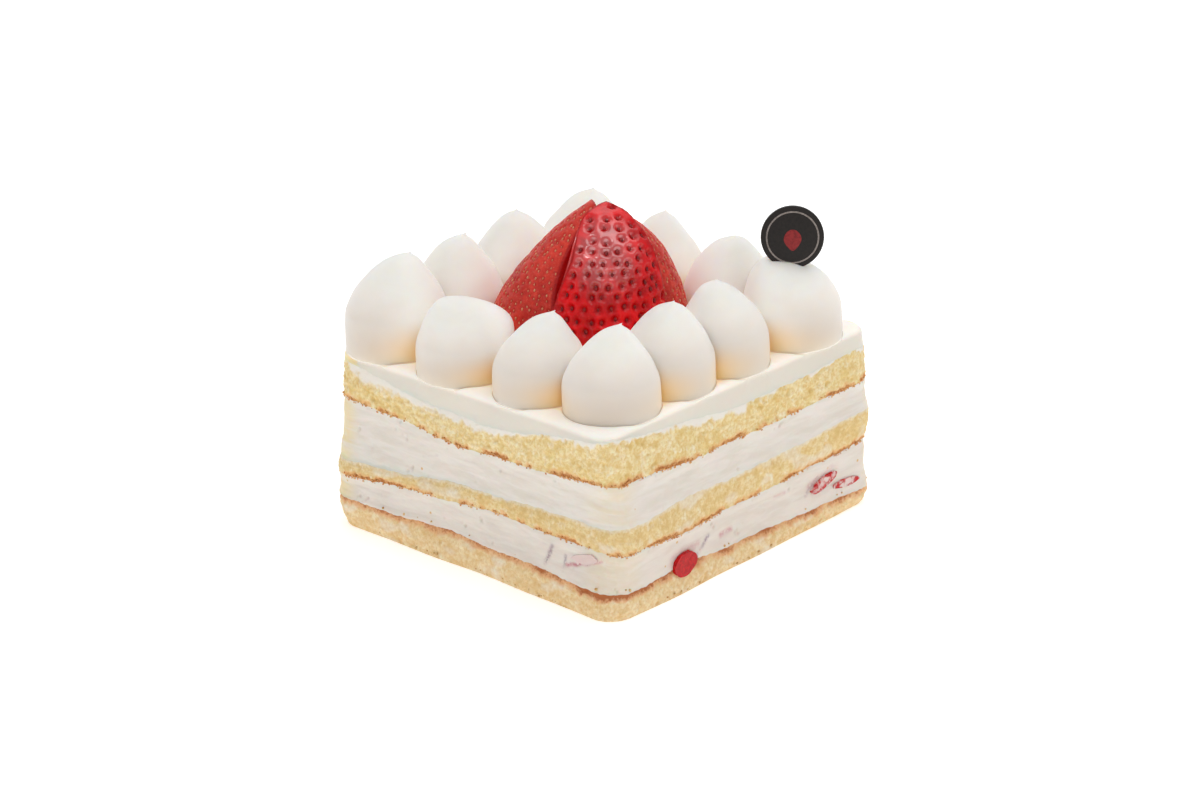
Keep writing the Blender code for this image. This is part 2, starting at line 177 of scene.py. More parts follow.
# %% [markdown]
# ## The camera and the light
# The camera looks down on the near corner of the cake with a long lens, so the sides hardly taper. It
# could be placed by eye. These angles were fitted to the cake's upright corners instead, because that
# settles the sizes of all that stands on it too.

# %% Camera
CAMERA_TURN = math.radians(44.9)
CAMERA_RISE = math.radians(22.3)
CAMERA_ROLL = math.radians(-2.2)
CAMERA_DISTANCE = 1.0
CAMERA_AIM = Vector((-0.64, -0.63, 33.96)) * MM
FOCAL_PIXELS = 3517
PICTURE_WIDTH = 1200
SENSOR = 36.0


def aim_camera():
    back = Vector((
        math.sin(CAMERA_TURN) * math.cos(CAMERA_RISE),
        -math.cos(CAMERA_TURN) * math.cos(CAMERA_RISE),
        math.sin(CAMERA_RISE)))
    level = Vector((math.cos(CAMERA_TURN), math.sin(CAMERA_TURN), 0))
    upright = back.cross(level)
    right = level * math.cos(CAMERA_ROLL) + upright * math.sin(CAMERA_ROLL)
    up = back.cross(right)
    bpy.ops.object.camera_add(location=CAMERA_AIM + back * CAMERA_DISTANCE)
    camera = bpy.context.object
    camera.name = "studio_camera"
    camera.rotation_euler = Matrix((right, up, back)).transposed().to_euler()
    camera.data.sensor_width = SENSOR
    camera.data.lens = FOCAL_PIXELS * SENSOR / PICTURE_WIDTH
    camera.data.clip_start = 0.05
    camera.data.clip_end = 50
    return camera


bpy.context.scene.camera = aim_camera()
print("lens:", round(bpy.context.scene.camera.data.lens, 1), "mm")

# %% [markdown]
# A cake in a bright kitchen has hardly any hard shadow. A room that is bright all round does most of
# the work. One large soft box hangs over the right-hand corner and shapes the kisses. A small one in
# front makes the highlights on the wet strawberry, and a wide one behind lifts the far edges of the
# cream. All are neutral, so the colours come from the cake itself.

# %% Light
ROOM_LIGHT = 0.50
BOX_POWER = 3.6
BOX_SIZE = (1.0, 1.0)
BOX_PLACE = Vector((0.28, 0.18, 1.22))
SHINE_POWER = 1.0
SHINE_SIZE = (0.20, 0.20)
SHINE_PLACE = Vector((0.18, -0.68, 0.97))
REAR_POWER = 5.0
REAR_SIZE = (2.2, 0.8)
REAR_PLACE = Vector((-0.60, 0.75, 0.95))
LIGHT_AIM = Vector((0, 0, 0.05))


def soft_box(name, place, size, power):
    bpy.ops.object.light_add(type="AREA", location=place)
    lamp = bpy.context.object
    lamp.name = name
    lamp.rotation_euler = (place - LIGHT_AIM).to_track_quat("Z", "Y").to_euler()
    lamp.data.shape = "RECTANGLE"
    lamp.data.size, lamp.data.size_y = size
    lamp.data.energy = power
    return lamp


def light_room():
    room = bpy.data.worlds.new("pale_room")
    bpy.context.scene.world = room
    room.use_nodes = True
    sky = room.node_tree.nodes["Background"]
    sky.inputs["Color"].default_value = (1, 1, 1, 1)
    sky.inputs["Strength"].default_value = ROOM_LIGHT
    soft_box("key_box", BOX_PLACE, BOX_SIZE, BOX_POWER)
    soft_box("shine_box", SHINE_PLACE, SHINE_SIZE, SHINE_POWER)
    soft_box("rear_box", REAR_PLACE, REAR_SIZE, REAR_POWER)
    bpy.context.scene.view_settings.view_transform = "Standard"


light_room()

# %% [markdown]
# ## Node tools
# A material is a small graph, which could be drawn by hand in the shader editor. Here `put` adds one
# node and `feed` fills its sockets, with plain values or with links from other nodes, so a whole graph
# reads from top to bottom and is the same each time.

# %% Build shader graphs
def feed(tree, socket, value):
    if isinstance(value, bpy.types.NodeSocket):
        tree.links.new(value, socket)
    else:
        socket.default_value = value


def put(tree, kind, sockets=None, **settings):
    made = tree.nodes.new(kind)
    for key, value in settings.items():
        setattr(made, key, value)
    for key, value in (sockets or {}).items():
        feed(tree, made.inputs[key], value)
    return made


def colour(red, green, blue):
    """A colour as the eye reads it, 0 to 255 each, turned into the linear values that light uses."""
    def linear(v):
        v = v / 255
        return v / 12.92 if v <= 0.04045 else ((v + 0.055) / 1.055) ** 2.4
    return (linear(red), linear(green), linear(blue), 1)


def mix(tree, share, first, second):
    """The first colour, with a share of the second over it."""
    return put(tree, "ShaderNodeMix", {0: share, 6: first, 7: second}, data_type="RGBA").outputs[2]


def step_between(tree, value, low, high):
    """0 below low, 1 above high, and smooth between."""
    made = put(tree, "ShaderNodeMapRange", {"Value": value, "From Min": low, "From Max": high},
               interpolation_type="SMOOTHSTEP")
    return made.outputs["Result"]


def sums(tree, operation, first, second):
    return put(tree, "ShaderNodeMath", {0: first, 1: second}, operation=operation).outputs[0]


def times(tree, first, second):
    return sums(tree, "MULTIPLY", first, second)


print("mid grey in linear light:", round(colour(128, 128, 128)[0], 3))

# %% [markdown]
# Every finish starts from plain values on one shader, and some effects are shared by several finishes.
# Both could be set by hand for each piece. Here `new_material` sets the values, and `new_group` opens a
# small graph with named sockets, so that a finish below holds only its own colours and numbers.

# %% Materials and groups
def new_material(name, **shader_values):
    made = bpy.data.materials.new(name)
    made.use_nodes = True
    shader = made.node_tree.nodes["Principled BSDF"]
    for key, value in shader_values.items():
        shader.inputs[key.replace("_", " ")].default_value = value
    return made, made.node_tree, shader


def dress(tree, shader, body, relief):
    """Lead the finished colour and the relief of the surface to the shader."""
    tree.links.new(body, shader.inputs["Base Color"])
    tree.links.new(relief.outputs["Normal"], shader.inputs["Normal"])


def object_place(tree):
    return put(tree, "ShaderNodeTexCoord").outputs["Object"]


def new_group(name, inputs, outputs):
    group = bpy.data.node_groups.new(name, "ShaderNodeTree")
    for label, kind, value in inputs:
        socket = group.interface.new_socket(label, in_out="INPUT", socket_type=kind)
        socket.default_value = value
    for label, kind in outputs:
        group.interface.new_socket(label, in_out="OUTPUT", socket_type=kind)
    return group, put(group, "NodeGroupInput"), put(group, "NodeGroupOutput")


print("a new material starts as one Principled shader")

# %% [markdown]
# Two effects come back on many surfaces. Fine grain is the tiny roughness that breaks up light on
# sponge and crumbs. Soft flow is the faint marbling of whipped cream. They could be built again in
# each material, but as node groups they are made once and used with other sizes.

# %% Shared effects
MASK_AND_NORMAL = [("Mask", "NodeSocketFloat"), ("Normal", "NodeSocketVector")]


def end_group(group, given, out, cloud):
    """Give out the cloud as a mask, and as a relief of the given depth."""
    bump = put(group, "ShaderNodeBump", {
        "Height": cloud.outputs[0], "Distance": given.outputs["Depth"], "Strength": 1.0})
    group.links.new(cloud.outputs[0], out.inputs["Mask"])
    group.links.new(bump.outputs[0], out.inputs["Normal"])
    return group


def build_grain():
    group, given, out = new_group("fine_grain", [
        ("Grain Size", "NodeSocketFloat", 0.0005), ("Depth", "NodeSocketFloat", 0.0001)], MASK_AND_NORMAL)
    scale = sums(group, "DIVIDE", 1.0, given.outputs["Grain Size"])
    cloud = put(group, "ShaderNodeTexNoise", {
        "Vector": object_place(group), "Scale": scale, "Detail": 3.0, "Roughness": 0.6})
    return end_group(group, given, out, cloud)


def build_flow():
    group, given, out = new_group("soft_flow", [
        ("Flow Size", "NodeSocketFloat", 0.008), ("Depth", "NodeSocketFloat", 0.0001),
        ("Stretch", "NodeSocketVector", (1, 1, 3))], MASK_AND_NORMAL)
    scale = sums(group, "DIVIDE", 1.0, given.outputs["Flow Size"])
    stretched = put(group, "ShaderNodeVectorMath", {
        0: object_place(group), 1: given.outputs["Stretch"]}, operation="MULTIPLY")
    cloud = put(group, "ShaderNodeTexNoise", {
        "Vector": stretched.outputs[0], "Scale": scale, "Detail": 4.0, "Roughness": 0.55,
        "Distortion": 0.6})
    return end_group(group, given, out, cloud)


GRAIN = build_grain()
FLOW = build_flow()


def grain(tree, size, depth):
    return put(tree, "ShaderNodeGroup", {
        "Grain Size": size * MM, "Depth": depth * MM}, node_tree=GRAIN)


def flow(tree, size, depth, stretch=(1, 1, 3)):
    return put(tree, "ShaderNodeGroup", {
        "Flow Size": size * MM, "Depth": depth * MM, "Stretch": stretch}, node_tree=FLOW)


def painted(tree, name):
    """A value that `paint` kept on the piece's own points."""
    return put(tree, "ShaderNodeAttribute", attribute_name=name).outputs["Fac"]


print("node groups:", GRAIN.name, FLOW.name)

# %% [markdown]
# ## The cake's outline
# Every sheet is bounded by two levels. A level is a wavy line round the square cake: its height and
# how far it stands out are given at eight places, the middles of the sides and the corners, and a
# smooth curve joins them. A bevelled cube would be quicker, but a hand-cut cake leans and bulges.
# These are the frame's own values, so each sheet lands on its solid. Only the base's lower edge stands
# a little further out in the middle of one side.

# %% Levels round the cake
SIDE = 105.0
CORNER_RADIUS = 5.0
STATIONS = 8
# A quarter of the way round is half a side, a corner and half a side again.
STRAIGHT_STEPS, CORNER_STEPS = 10, 4
QUARTER_STEPS = 24
RIM_STEPS = 96
LEVELS = ("floor", "base_top", "lower_cream_top", "middle_top", "upper_cream_top", "top_sponge_edge")
HEIGHT = {
    "floor": (0, 0, 0, 0, 0, 0, 0, 0),
    "base_top": (6.4, 5.6, 6.8, 7.5, 9.0, 9.4, 9.2, 8.0),
    "lower_cream_top": (17.5, 20.0, 18.5, 17.0, 16.2, 15.8, 19.4, 18.8),
    "middle_top": (26.4, 29.6, 28.0, 25.5, 22.5, 20.8, 24.3, 26.6),
    "upper_cream_top": (36.6, 38.4, 37.0, 38.0, 38.8, 39.4, 36.2, 38.6),
    "top_sponge_edge": (46.0, 48.6, 47.0, 48.4, 47.0, 50.8, 44.6, 49.0),
}
PUSH = {
    "floor": (2.2, 0.8, 0.8, 1.6, 0.8, 2.8, 1.8, 2.4),
    "base_top": (0.8, 2.6, 1.2, 2.2, 1.4, 4.2, 1.4, 2.4),
    "lower_cream_top": (0.6, 2.0, 0.5, 1.6, 0.8, 4.2, 0.6, 1.8),
    "middle_top": (0.8, 3.0, 0.9, 1.4, 0.6, 3.2, 0.2, 1.2),
    "upper_cream_top": (0.3, 2.6, 0.2, 0.9, 0.0, 1.4, 0.0, 0.9),
    "top_sponge_edge": (0.0, 1.6, 0.0, 0.4, -0.4, 0.2, -0.2, 0.0),
}
NEAR_SKEW = {"lower_cream_top": 2.4, "middle_top": 2.2, "upper_cream_top": 1.5, "base_top": 0.5}
NEAR_STATION = 7
SKEW_FADE = 1.5
RIM_WAVE = 0.45
RIM_WAVE_COUNTS = (5, 9, 14)
print("sheet heights at the near corner:", [HEIGHT[level][NEAR_STATION] for level in LEVELS])

# %% [markdown]
# Between two measured places the edge of a soft sheet bends without a kink. A Bezier curve could be
# drawn through the heights. Here a smooth curve through four neighbours is worked out in numbers,
# because each row of points up the side is a mix of two such lines.

# %% The line of a level
def smooth_between(p, q, r, s, t):
    """A share t of the way from q to r, on the smooth curve through p, q, r and s."""
    square, cube = 2 * p - 5 * q + 4 * r - s, 3 * q - p - 3 * r + s
    return 0.5 * (2 * q + (r - p) * t + square * t**2 + cube * t**3)


def at_station(row, station):
    """Smooth value between the eight stations."""
    k = np.floor(station).astype(int)
    t = station - k
    p, q, r, s = (np.asarray(row, float)[(k + j) % STATIONS] for j in (-1, 0, 1, 2))
    return smooth_between(p, q, r, s, t)


def outline(step, inset=0.0):
    """Points and outward directions of the rounded square, shrunk by inset."""
    half = SIDE / 2 - inset
    radius = np.maximum(CORNER_RADIUS - 0.4 * inset, 2.0)
    run = half - radius
    quarter = np.floor(step / QUARTER_STEPS)
    along = step - QUARTER_STEPS * quarter
    arc = STRAIGHT_STEPS + CORNER_STEPS
    angle = np.clip((along - STRAIGHT_STEPS) / CORNER_STEPS, 0, 1) * math.pi / 2
    to_end, from_start = run * (QUARTER_STEPS - along) / STRAIGHT_STEPS, run * along / STRAIGHT_STEPS
    x = np.where(along >= arc, to_end, run + radius * np.cos(angle))
    y = np.where(along <= STRAIGHT_STEPS, from_start, run + radius * np.sin(angle))
    turn = quarter * math.pi / 2
    place = np.stack([x * np.cos(turn) - y * np.sin(turn), x * np.sin(turn) + y * np.cos(turn)], -1)
    outward = np.stack([np.cos(angle + turn), np.sin(angle + turn)], -1)
    return place, outward


def ripple(step, key):
    """A small wave round the cake, different for each key."""
    turn = 2 * math.pi * step / RIM_STEPS
    waves = (np.sin(count * turn + 1.7 * n + 2.9 * key) for n, count in enumerate(RIM_WAVE_COUNTS))
    return sum(waves) / 3


def rim(level, step):
    """The line of a level round the cake."""
    station = STATIONS * step / RIM_STEPS
    key = LEVELS.index(level)
    place, outward = outline(step)
    push = at_station(PUSH[level], station) + RIM_WAVE * ripple(step, key + 10)
    fade = np.clip(1 - np.abs(station - NEAR_STATION), 0, 1) ** SKEW_FADE
    plan = place + outward * push[..., None] + (NEAR_SKEW.get(level, 0.0) * fade)[..., None]
    height = at_station(HEIGHT[level], station) + (level != "floor") * RIM_WAVE * ripple(step, key)
    return np.concatenate([plan, height[..., None]], -1)


print("outline at the first corner:", outline(np.array([12.0]))[0].round(1))

# %% [markdown]
# ## Wrapping a strip round the cake
# A cut side is far longer than it is high, and it needs points about a third of a millimetre apart to
# hold its crumb. A subdivided cube would crowd them at its corners. So each side starts as a flat grid,
# like a strip of icing, which is wrapped round the outline until its ends meet. Its open rims are then
# drawn inwards and closed, out of sight between the sheets.

# %% The wrapped strip
COLUMNS = 1248
RIM_DRAW = 0.93


def strip_steps(columns):
    return np.arange(columns + 1) * RIM_STEPS / columns % RIM_STEPS


def wrap_strip(name, places, **layers):
    """A closed sheet from rows of points, lowest first. Layers are painted on the same points."""
    rows, columns = places.shape[0], places.shape[1] - 1
    clear_selection()
    bpy.ops.mesh.primitive_grid_add(x_subdivisions=columns, y_subdivisions=rows - 1, size=1)
    strip = new_piece(name)
    set_points(strip, places.reshape(-1, 3) * MM)
    paint(strip, **layers, row=np.repeat(np.arange(rows), columns + 1))
    take(strip)
    bpy.ops.object.mode_set(mode="EDIT")
    bpy.ops.mesh.select_all(action="SELECT")
    bpy.ops.mesh.remove_doubles(threshold=1e-6)
    bpy.ops.object.mode_set(mode="OBJECT")
    for edge_row in (0, rows - 1):
        close_rim(strip, edge_row)
    strip.data.attributes.remove(strip.data.attributes["row"])
    return tidy_mesh(strip)


def close_rim(strip, edge_row):
    """Draw one open rim inwards to a level plane, and fill it."""
    row = np.empty(len(strip.data.vertices), np.float32)
    strip.data.attributes["row"].data.foreach_get("value", row)
    mask = row == edge_row
    level = points_of(strip)[mask, 2].mean()
    pick_points(strip, mask)
    bpy.ops.mesh.extrude_region_move()
    bpy.ops.transform.resize(value=(RIM_DRAW, RIM_DRAW, 0), center_override=(0, 0, level))
    bpy.ops.mesh.edge_face_add()
    bpy.ops.object.mode_set(mode="OBJECT")


print("points round the cake:", COLUMNS)

# %% [markdown]
# ## Marks on the cut sides
# A knife leaves a history on the side of a cake: baked skin in thin brown patches, cream dragged over
# crumb, juice from the fruit. They could be brushed on by hand. Here each mark is a place in plan with
# a reach, or a short stroke, and it is painted on the points near it, so it can be moved by changing a
# number. The two far sides get marks from noise instead.

# %% Paint marks
# Each mark of skin is x, y, reach and strength.
TOP_SKIN = (
    (-46, -53, 2.4, 0.6), (-34, -53, 2.8, 0.7), (-18.5, -53, 2.6, 0.5), (-3.9, -53, 2.0, 1.0),
    (9.9, -53, 5.2, 1.0), (38, -53, 8.5, 0.75), (53, -45, 5.0, 0.9), (53, -27.7, 9.5, 0.85),
    (53, -4, 8.0, 0.65), (53, 10, 4.0, 0.35), (53, 39, 6.0, 0.85))
MIDDLE_SKIN = (
    (-37, -53, 13.5, 0.85), (-16.5, -53, 3.0, 0.6), (1.2, -53, 3.5, 0.25), (37, -53, 4.5, 1.0),
    (53, -44.8, 3.5, 0.4), (53, -34.6, 8.0, 0.95), (53, -14.6, 6.5, 1.0), (53, 19.3, 4.5, 0.7),
    (53, 42, 9.0, 1.0))
FAR_SIDES, FAR_FADE = 46.0, 4.0


def marks(points, spots):
    """How strongly the nearest mark covers each point."""
    strength = np.zeros(points.shape[:-1])
    for x, y, reach, amount in spots:
        away = np.hypot(points[..., 0] - x, points[..., 1] - y) / reach
        strength = np.maximum(strength, amount * np.exp(-away**4))
    return strength


def strokes(points, lines):
    """How strongly short strokes cover each point. A stroke is two ends, a width and a strength."""
    strength = np.zeros(points.shape[:-1])
    bent = points + 0.5 * wander(points, 2.4, 41)[..., None]
    for start, end, width, amount in lines:
        start, span = np.array(start, float), np.array(end, float) - np.array(start, float)
        along = np.clip(((bent - start) @ span) / (span @ span), 0, 1)
        away = np.linalg.norm(bent - start - along[..., None] * span, axis=-1) / width
        strength = np.maximum(strength, amount * np.exp(-away**2))
    return strength


def unseen(points):
    """1 on the two far sides, 0 on the two near ones."""
    far_y, far_x = (
        ease(FAR_SIDES, FAR_SIDES + FAR_FADE, away) for away in (points[..., 1], -points[..., 0]))
    return np.maximum(far_y, far_x)


def skin_along(points, spots, seed):
    """How much baked skin is left along a rim."""
    patchy = 0.9 * ease(-0.1, 0.35, wander(points * (1, 1, 0), 9, seed))
    faint = 0.55 * ease(-0.25, 0.25, wander(points * (1, 1, 0), 3.5, seed + 1))
    return np.maximum(np.maximum(marks(points, spots), faint), unseen(points) * patchy)


print("far sides from", FAR_SIDES, "mm on get marks from noise")

# %% [markdown]
# ## The three sheets of sponge
# Each sheet is a strip between two levels. The sheet below and the sheet above it use the same ragged
# line, so no gap opens between them. A little swell in the middle stands for soft cake that is pressed
# from above.

# %% Points of a cut side
ROW_STEP = 0.34
NEAR_RISE, NEAR_SPREAD = 2.6, 30.0


def ragged_rim(level, step):
    """A level's line with its small steps."""
    line = rim(level, step)
    if level != "floor":
        line[..., 2] += 0.34 * wander(line, 2.8, 5) + 0.24 * wander(line, 1.2, 9)
    if level == "top_sponge_edge":
        from_near = np.hypot(line[..., 0] - SIDE / 2, line[..., 1] + SIDE / 2)
        line[..., 2] += NEAR_RISE * np.exp(-(from_near / NEAR_SPREAD) ** 2)
    return line


def side_grid(below, above, swell):
    """The points of one cut side, the direction out of it, and heights above and below its rims."""
    step = strip_steps(COLUMNS)
    low, high = ragged_rim(below, step), ragged_rim(above, step)
    tall = (high - low)[:, 2]
    rows = round(tall.mean() / ROW_STEP)
    share = np.linspace(0, 1, rows + 1)[:, None, None]
    outward = np.pad(outline(step)[1], ((0, 0), (0, 1)))
    belly = np.minimum(1, 3 * np.minimum(share, 1 - share))
    places = low + (high - low) * share + outward * swell * belly
    return places, outward, share[..., 0] * tall, (1 - share[..., 0]) * tall


print("rows of points up the base:", side_grid("floor", "base_top", 0)[0].shape[0])

# %% [markdown]
# Sponge is a foam. Cut through, it shows grains and pores of two sizes on a lumpy ground. Bump alone
# could draw them, but then the outline and the shadows would stay smooth. So the crumb moves the points,
# and its hollows are also painted on them as painted shade in the pores and between the grains, so
# that light and colour agree. Cream that is dragged over it fills it.

# %% The crumb of the sponge
def near_cells(points, size, seed):
    """Distance to the nearest grain's middle, and that grain's own value from -0.5 to 0.5."""
    flat = points.reshape(-1, 3) / size + seed
    far, cell = [], []
    for p in flat:
        away, spots = noise.voronoi(Vector(p))
        far.append(away[0])
        cell.append((spots[0][0] * 7.3 + spots[0][1] * 3.7) % 1 - 0.5)
    return np.array(far).reshape(points.shape[:-1]), np.array(cell).reshape(points.shape[:-1])


def crumb_relief(points, depth, seed):
    """Height of the crumb, and how deep in a pore or between two grains each point lies."""
    bent = points + 0.35 * wander(points, 1.6, seed + 6)[..., None]
    near, nearest = near_cells(bent, 1.25, seed)
    grains = 1 - ease(0.10, 0.80, near)
    fine = 1 - ease(0.1, 0.8, near_cells(points, 0.8, seed + 7)[0])
    lumps = 0.30 * wander(points, 6.0, seed) + 0.30 * wander(points, 2.6, seed + 1)
    open_here = ease(-0.1, 0.45, wander(points, 3.4, seed + 3))
    wide = pores(points, 2.6, seed + 4) * open_here
    height = lumps + 0.42 * (grains - 0.5) + 0.14 * (fine - 0.5) - 0.6 * wide
    # How deep each point lies in a pore or between grains, with a little random tone from grain to grain.
    # The finish paints it darker, as painted shade.
    hollow = 0.75 * wide + 0.75 * (1 - grains) ** 1.5 + 0.2 * (1 - fine) + 0.25 * nearest - 0.25
    return depth * height, np.clip(hollow, 0, 1)


def sponge_sheet(name, below, above, swell, depth, seed, skin, smear):
    """One sheet of sponge. skin and smear give those masks from the points and their heights."""
    places, outward, up, down = side_grid(below, above, swell)
    relief, pit = crumb_relief(places, depth, seed)
    skin_mask = skin(places, up, down)
    smear_mask = smear(places, up, down)
    smear_mask = smear_mask * (1 - 0.55 * pit * (1 - ease(0.75, 1.0, smear_mask)))
    relief = relief * (1 - 0.75 * smear_mask) + 0.10 * smear_mask - 0.25 * ease(0.4, 0.9, skin_mask)
    places = places + outward * (relief * ease(0, 0.6, np.minimum(up, down)))[..., None]
    places[..., 2] = np.maximum(places[..., 2], 0)
    return wrap_strip(name, places, pit=pit, skin=skin_mask, smear=smear_mask)


print("marks of skin to paint:", len(TOP_SKIN) + len(MIDDLE_SKIN))

# %% [markdown]
# The base is denser than the other sheets, and its top keeps a whole brown skin. The other two keep
# theirs in patches along their lower rims. Cream is smeared thinly over some of the crumb, and the
# wiped icing thins to a film over the top of the highest sheet. Each mask is a small function of its
# own, because each sheet has another history.

# %% Skin and smears on each sheet
def edge_band(distance, points, thick, seed):
    """A ragged band next to a rim, which fades out slowly."""
    rough = 0.5 * wander(points, 3.2, seed) + 0.6 * wander(points, 1.1, seed + 1)
    return 1 - ease(0.0, 1.9, distance / thick + 0.7 * rough)


DARK_CORNER = (53, -53, 16)
SKIN_BAND = 1.3


def base_skin(points, up, down):
    x, y, reach = DARK_CORNER
    thick = 1.7 + 0.7 * wander(points * (1, 1, 0), 9, 3)
    corner = 0.5 * np.exp(-(np.hypot(points[..., 0] - x, points[..., 1] - y) / reach) ** 2)
    strength = 0.75 + 0.5 * wander(points * (1, 1, 0), 6, 8) + corner
    return edge_band(down, points, thick, 21) * strength


def middle_skin(points, up, down):
    left = ease(0.0, 0.8, skin_along(points, MIDDLE_SKIN, 31))
    return edge_band(up, points, SKIN_BAND, 23) * left


def top_skin(points, up, down):
    left = ease(0.0, 0.8, skin_along(points, TOP_SKIN, 33))
    return edge_band(up, points, SKIN_BAND, 25) * left


def patches(points, size, low, high, seed):
    return ease(low, high, wander(points * (0.7, 0.7, 1.3), size, seed))


def base_smear(points, up, down):
    return 0.45 * patches(points, 5.0, 0.12, 0.42, 51) * ease(0.8, 2.2, down)


def middle_smear(points, up, down):
    return np.maximum(
        0.5 * patches(points, 6.0, 0.15, 0.5, 53), 0.6 * edge_band(down, points, 0.6, 55))


ICING_FILM = (1.5, 0.3, 2.0, 2.0, 2.0, 0.2, 2.4, 1.0)
THICK_FILM = ((-37, -53, 10.5, 3.6), (-20, -53, 8.0, 1.5))


def top_smear(points, up, down):
    """The wiped icing thins to a film over the upper part of the sheet."""
    step = strip_steps(COLUMNS)
    reach = at_station(ICING_FILM, STATIONS * step / RIM_STEPS) + marks(points, THICK_FILM)
    uneven = 1.7 * wander(points, 5.0, 57) + 1.1 * wander(points, 2.0, 58)
    uneven = uneven + 0.6 * wander(points, 0.9, 59)
    return 1 - ease(0.0, 0.8, (down + uneven) / reach - 0.35)


print("film of icing at the stations, in mm:", ICING_FILM)

# %% [markdown]
# The colour of sponge is never even. Broad clouds and small blotches of noise shift it, painted shade
# darkens its pores and the gaps between its grains, and a cream film and brown skin lie over it in
# their painted places. The speckle at the skin's edge keeps its border from looking drawn.

# %% Sponge finish
FILM = colour(242, 235, 224)


def sponge_material(name, light, deep, pore, pale, skin_light, skin_dark):
    made, tree, shader = new_material(
        name, Roughness=0.85, Subsurface_Weight=0.10, Subsurface_Scale=0.001, Specular_IOR_Level=0.2)
    rough = grain(tree, 0.7, 0.16)
    broad = flow(tree, 9, 0.0, (1, 1, 1)).outputs["Mask"]
    body = mix(tree, step_between(tree, broad, 0.35, 0.68), light, deep)
    blotch = flow(tree, 2.6, 0.0, (1, 1, 1)).outputs["Mask"]
    body = mix(tree, times(tree, step_between(tree, blotch, 0.48, 0.66), 0.45), body, pore)
    body = mix(tree, times(tree, step_between(tree, blotch, 0.46, 0.30), 0.65), body, pale)
    dots = step_between(tree, rough.outputs["Mask"], 0.42, 0.7)
    body = mix(tree, times(tree, dots, 0.55), body, pore)
    # Painted shade: the pit layer paints the pores and the gaps between grains in the darker pore colour.
    body = mix(tree, times(tree, painted(tree, "pit"), 0.65), body, pore)
    body = mix(tree, painted(tree, "smear"), body, FILM)
    speckle = times(tree, sums(tree, "SUBTRACT", rough.outputs["Mask"], 0.5), 1.1)
    edge = sums(tree, "ADD", painted(tree, "skin"), speckle)
    thin_skin = times(tree, step_between(tree, painted(tree, "skin"), 0.05, 0.65), 0.75)
    body = mix(tree, thin_skin, body, skin_light)
    body = mix(tree, times(tree, step_between(tree, edge, 0.45, 1.05), 0.9), body, skin_dark)
    dress(tree, shader, body, rough)
    return made


CRUST = (colour(238, 184, 122), colour(200, 126, 70))
BASE_CRUST = (colour(232, 170, 120), colour(178, 100, 56))
TOP_SPONGE = sponge_material(
    "sponge_top_crumb", colour(248, 232, 188), colour(241, 218, 158), colour(222, 184, 108),
    colour(252, 244, 222), *CRUST)
MIDDLE_SPONGE = sponge_material(
    "sponge_middle_crumb", colour(244, 223, 175), colour(238, 211, 152), colour(218, 180, 112),
    colour(250, 240, 216), *CRUST)
BASE_SPONGE = sponge_material(
    "sponge_base_crumb", colour(248, 229, 189), colour(243, 216, 168), colour(224, 184, 122),
    colour(252, 240, 212), *BASE_CRUST)

# Each sheet is its solid, the levels below and above, swell, depth of crumb, seed, masks and finish.
SPONGES = (
    ("sponge_base", "floor", "base_top", 0.5, 0.65, 60, base_skin, base_smear, BASE_SPONGE),
    ("sponge_middle", "lower_cream_top", "middle_top", 0.4, 0.5, 70, middle_skin, middle_smear,
     MIDDLE_SPONGE),
    ("sponge_top", "upper_cream_top", "top_sponge_edge", 0.2, 0.85, 80, top_skin, top_smear,
     TOP_SPONGE))
for solid, *sheet, finish in SPONGES:
    settle(sponge_sheet("cake_" + solid, *sheet), "sponge", finish, solid)

# %% [markdown]
# ## The two cream fillings
# Whipped cream cuts to a dull, even face. A warm knife drags it along the side, so its swells are long
# and flat, with a few torn pits. It is the same strip as the sponge, because a blade cut both, but its
# noise is stretched along the cut instead of lumpy. Fruit juice leaves grey and pink strokes in it.

# %% Cut cream
# Each stroke is its two ends, its width and its strength.
BRUISES = (
    ((31, -53, 16), (28.7, -53, 10.6), 0.7, 0.8), ((36.2, -53, 15), (35.6, -53, 10.4), 0.55, 0.7),
    ((53, -20.7, 8), (53, -14.6, 12.2), 0.65, 0.9), ((53, 25.5, 10.4), (53, 30.5, 14.4), 0.6, 0.7),
    ((-19, -53, 29), (-14, -53, 30.2), 0.35, 0.35), ((53, -38, 28.5), (53, -32, 28.9), 0.3, 0.45))
JUICE = (
    ((36.8, -53, 12.6), (43, -53, 14.2), 0.5, 0.8), ((43, -53, 14.2), (49.5, -53, 16.6), 0.45, 0.9),
    ((53, -9.6, 10.4), (53, -5, 10.9), 0.7, 0.6), ((53, 27, 12.8), (53, 38, 16.2), 1.0, 0.35),
    ((53, -30, 11), (53, -19, 11.6), 1.2, 0.3), ((53, 13, 14.4), (53, 17, 14.2), 0.5, 0.3))
WARM_ENDS = ((-53, -53, 7.0, 0.9), (53, -53, 9.0, 0.3), (53, 53, 4.0, 0.3))
DRAG = (0.35, 0.35, 1)
CREAM_SWELL = -0.5


def cream_sheet(name, below, above, seed):
    places, outward, up, down = side_grid(below, above, CREAM_SWELL)
    dragged = places * DRAG
    relief = 0.34 * wander(dragged, 4.5, seed) + 0.12 * wander(dragged, 1.3, seed + 1)
    torn = ease(0.35, 0.6, wander(places, 4.2, seed + 2)) * pores(places, 1.6, seed + 3)
    relief = relief + 0.05 * wander(places, 0.8, seed + 4) - 0.4 * torn
    layers = {"pit": torn, "bruise": strokes(places, BRUISES), "juice": strokes(places, JUICE),
              "warm": marks(places, WARM_ENDS)}
    places = places + outward * (relief * ease(0, 0.6, np.minimum(up, down)))[..., None]
    return wrap_strip(name, places, **layers)


print("strokes in the cream:", len(BRUISES) + len(JUICE))

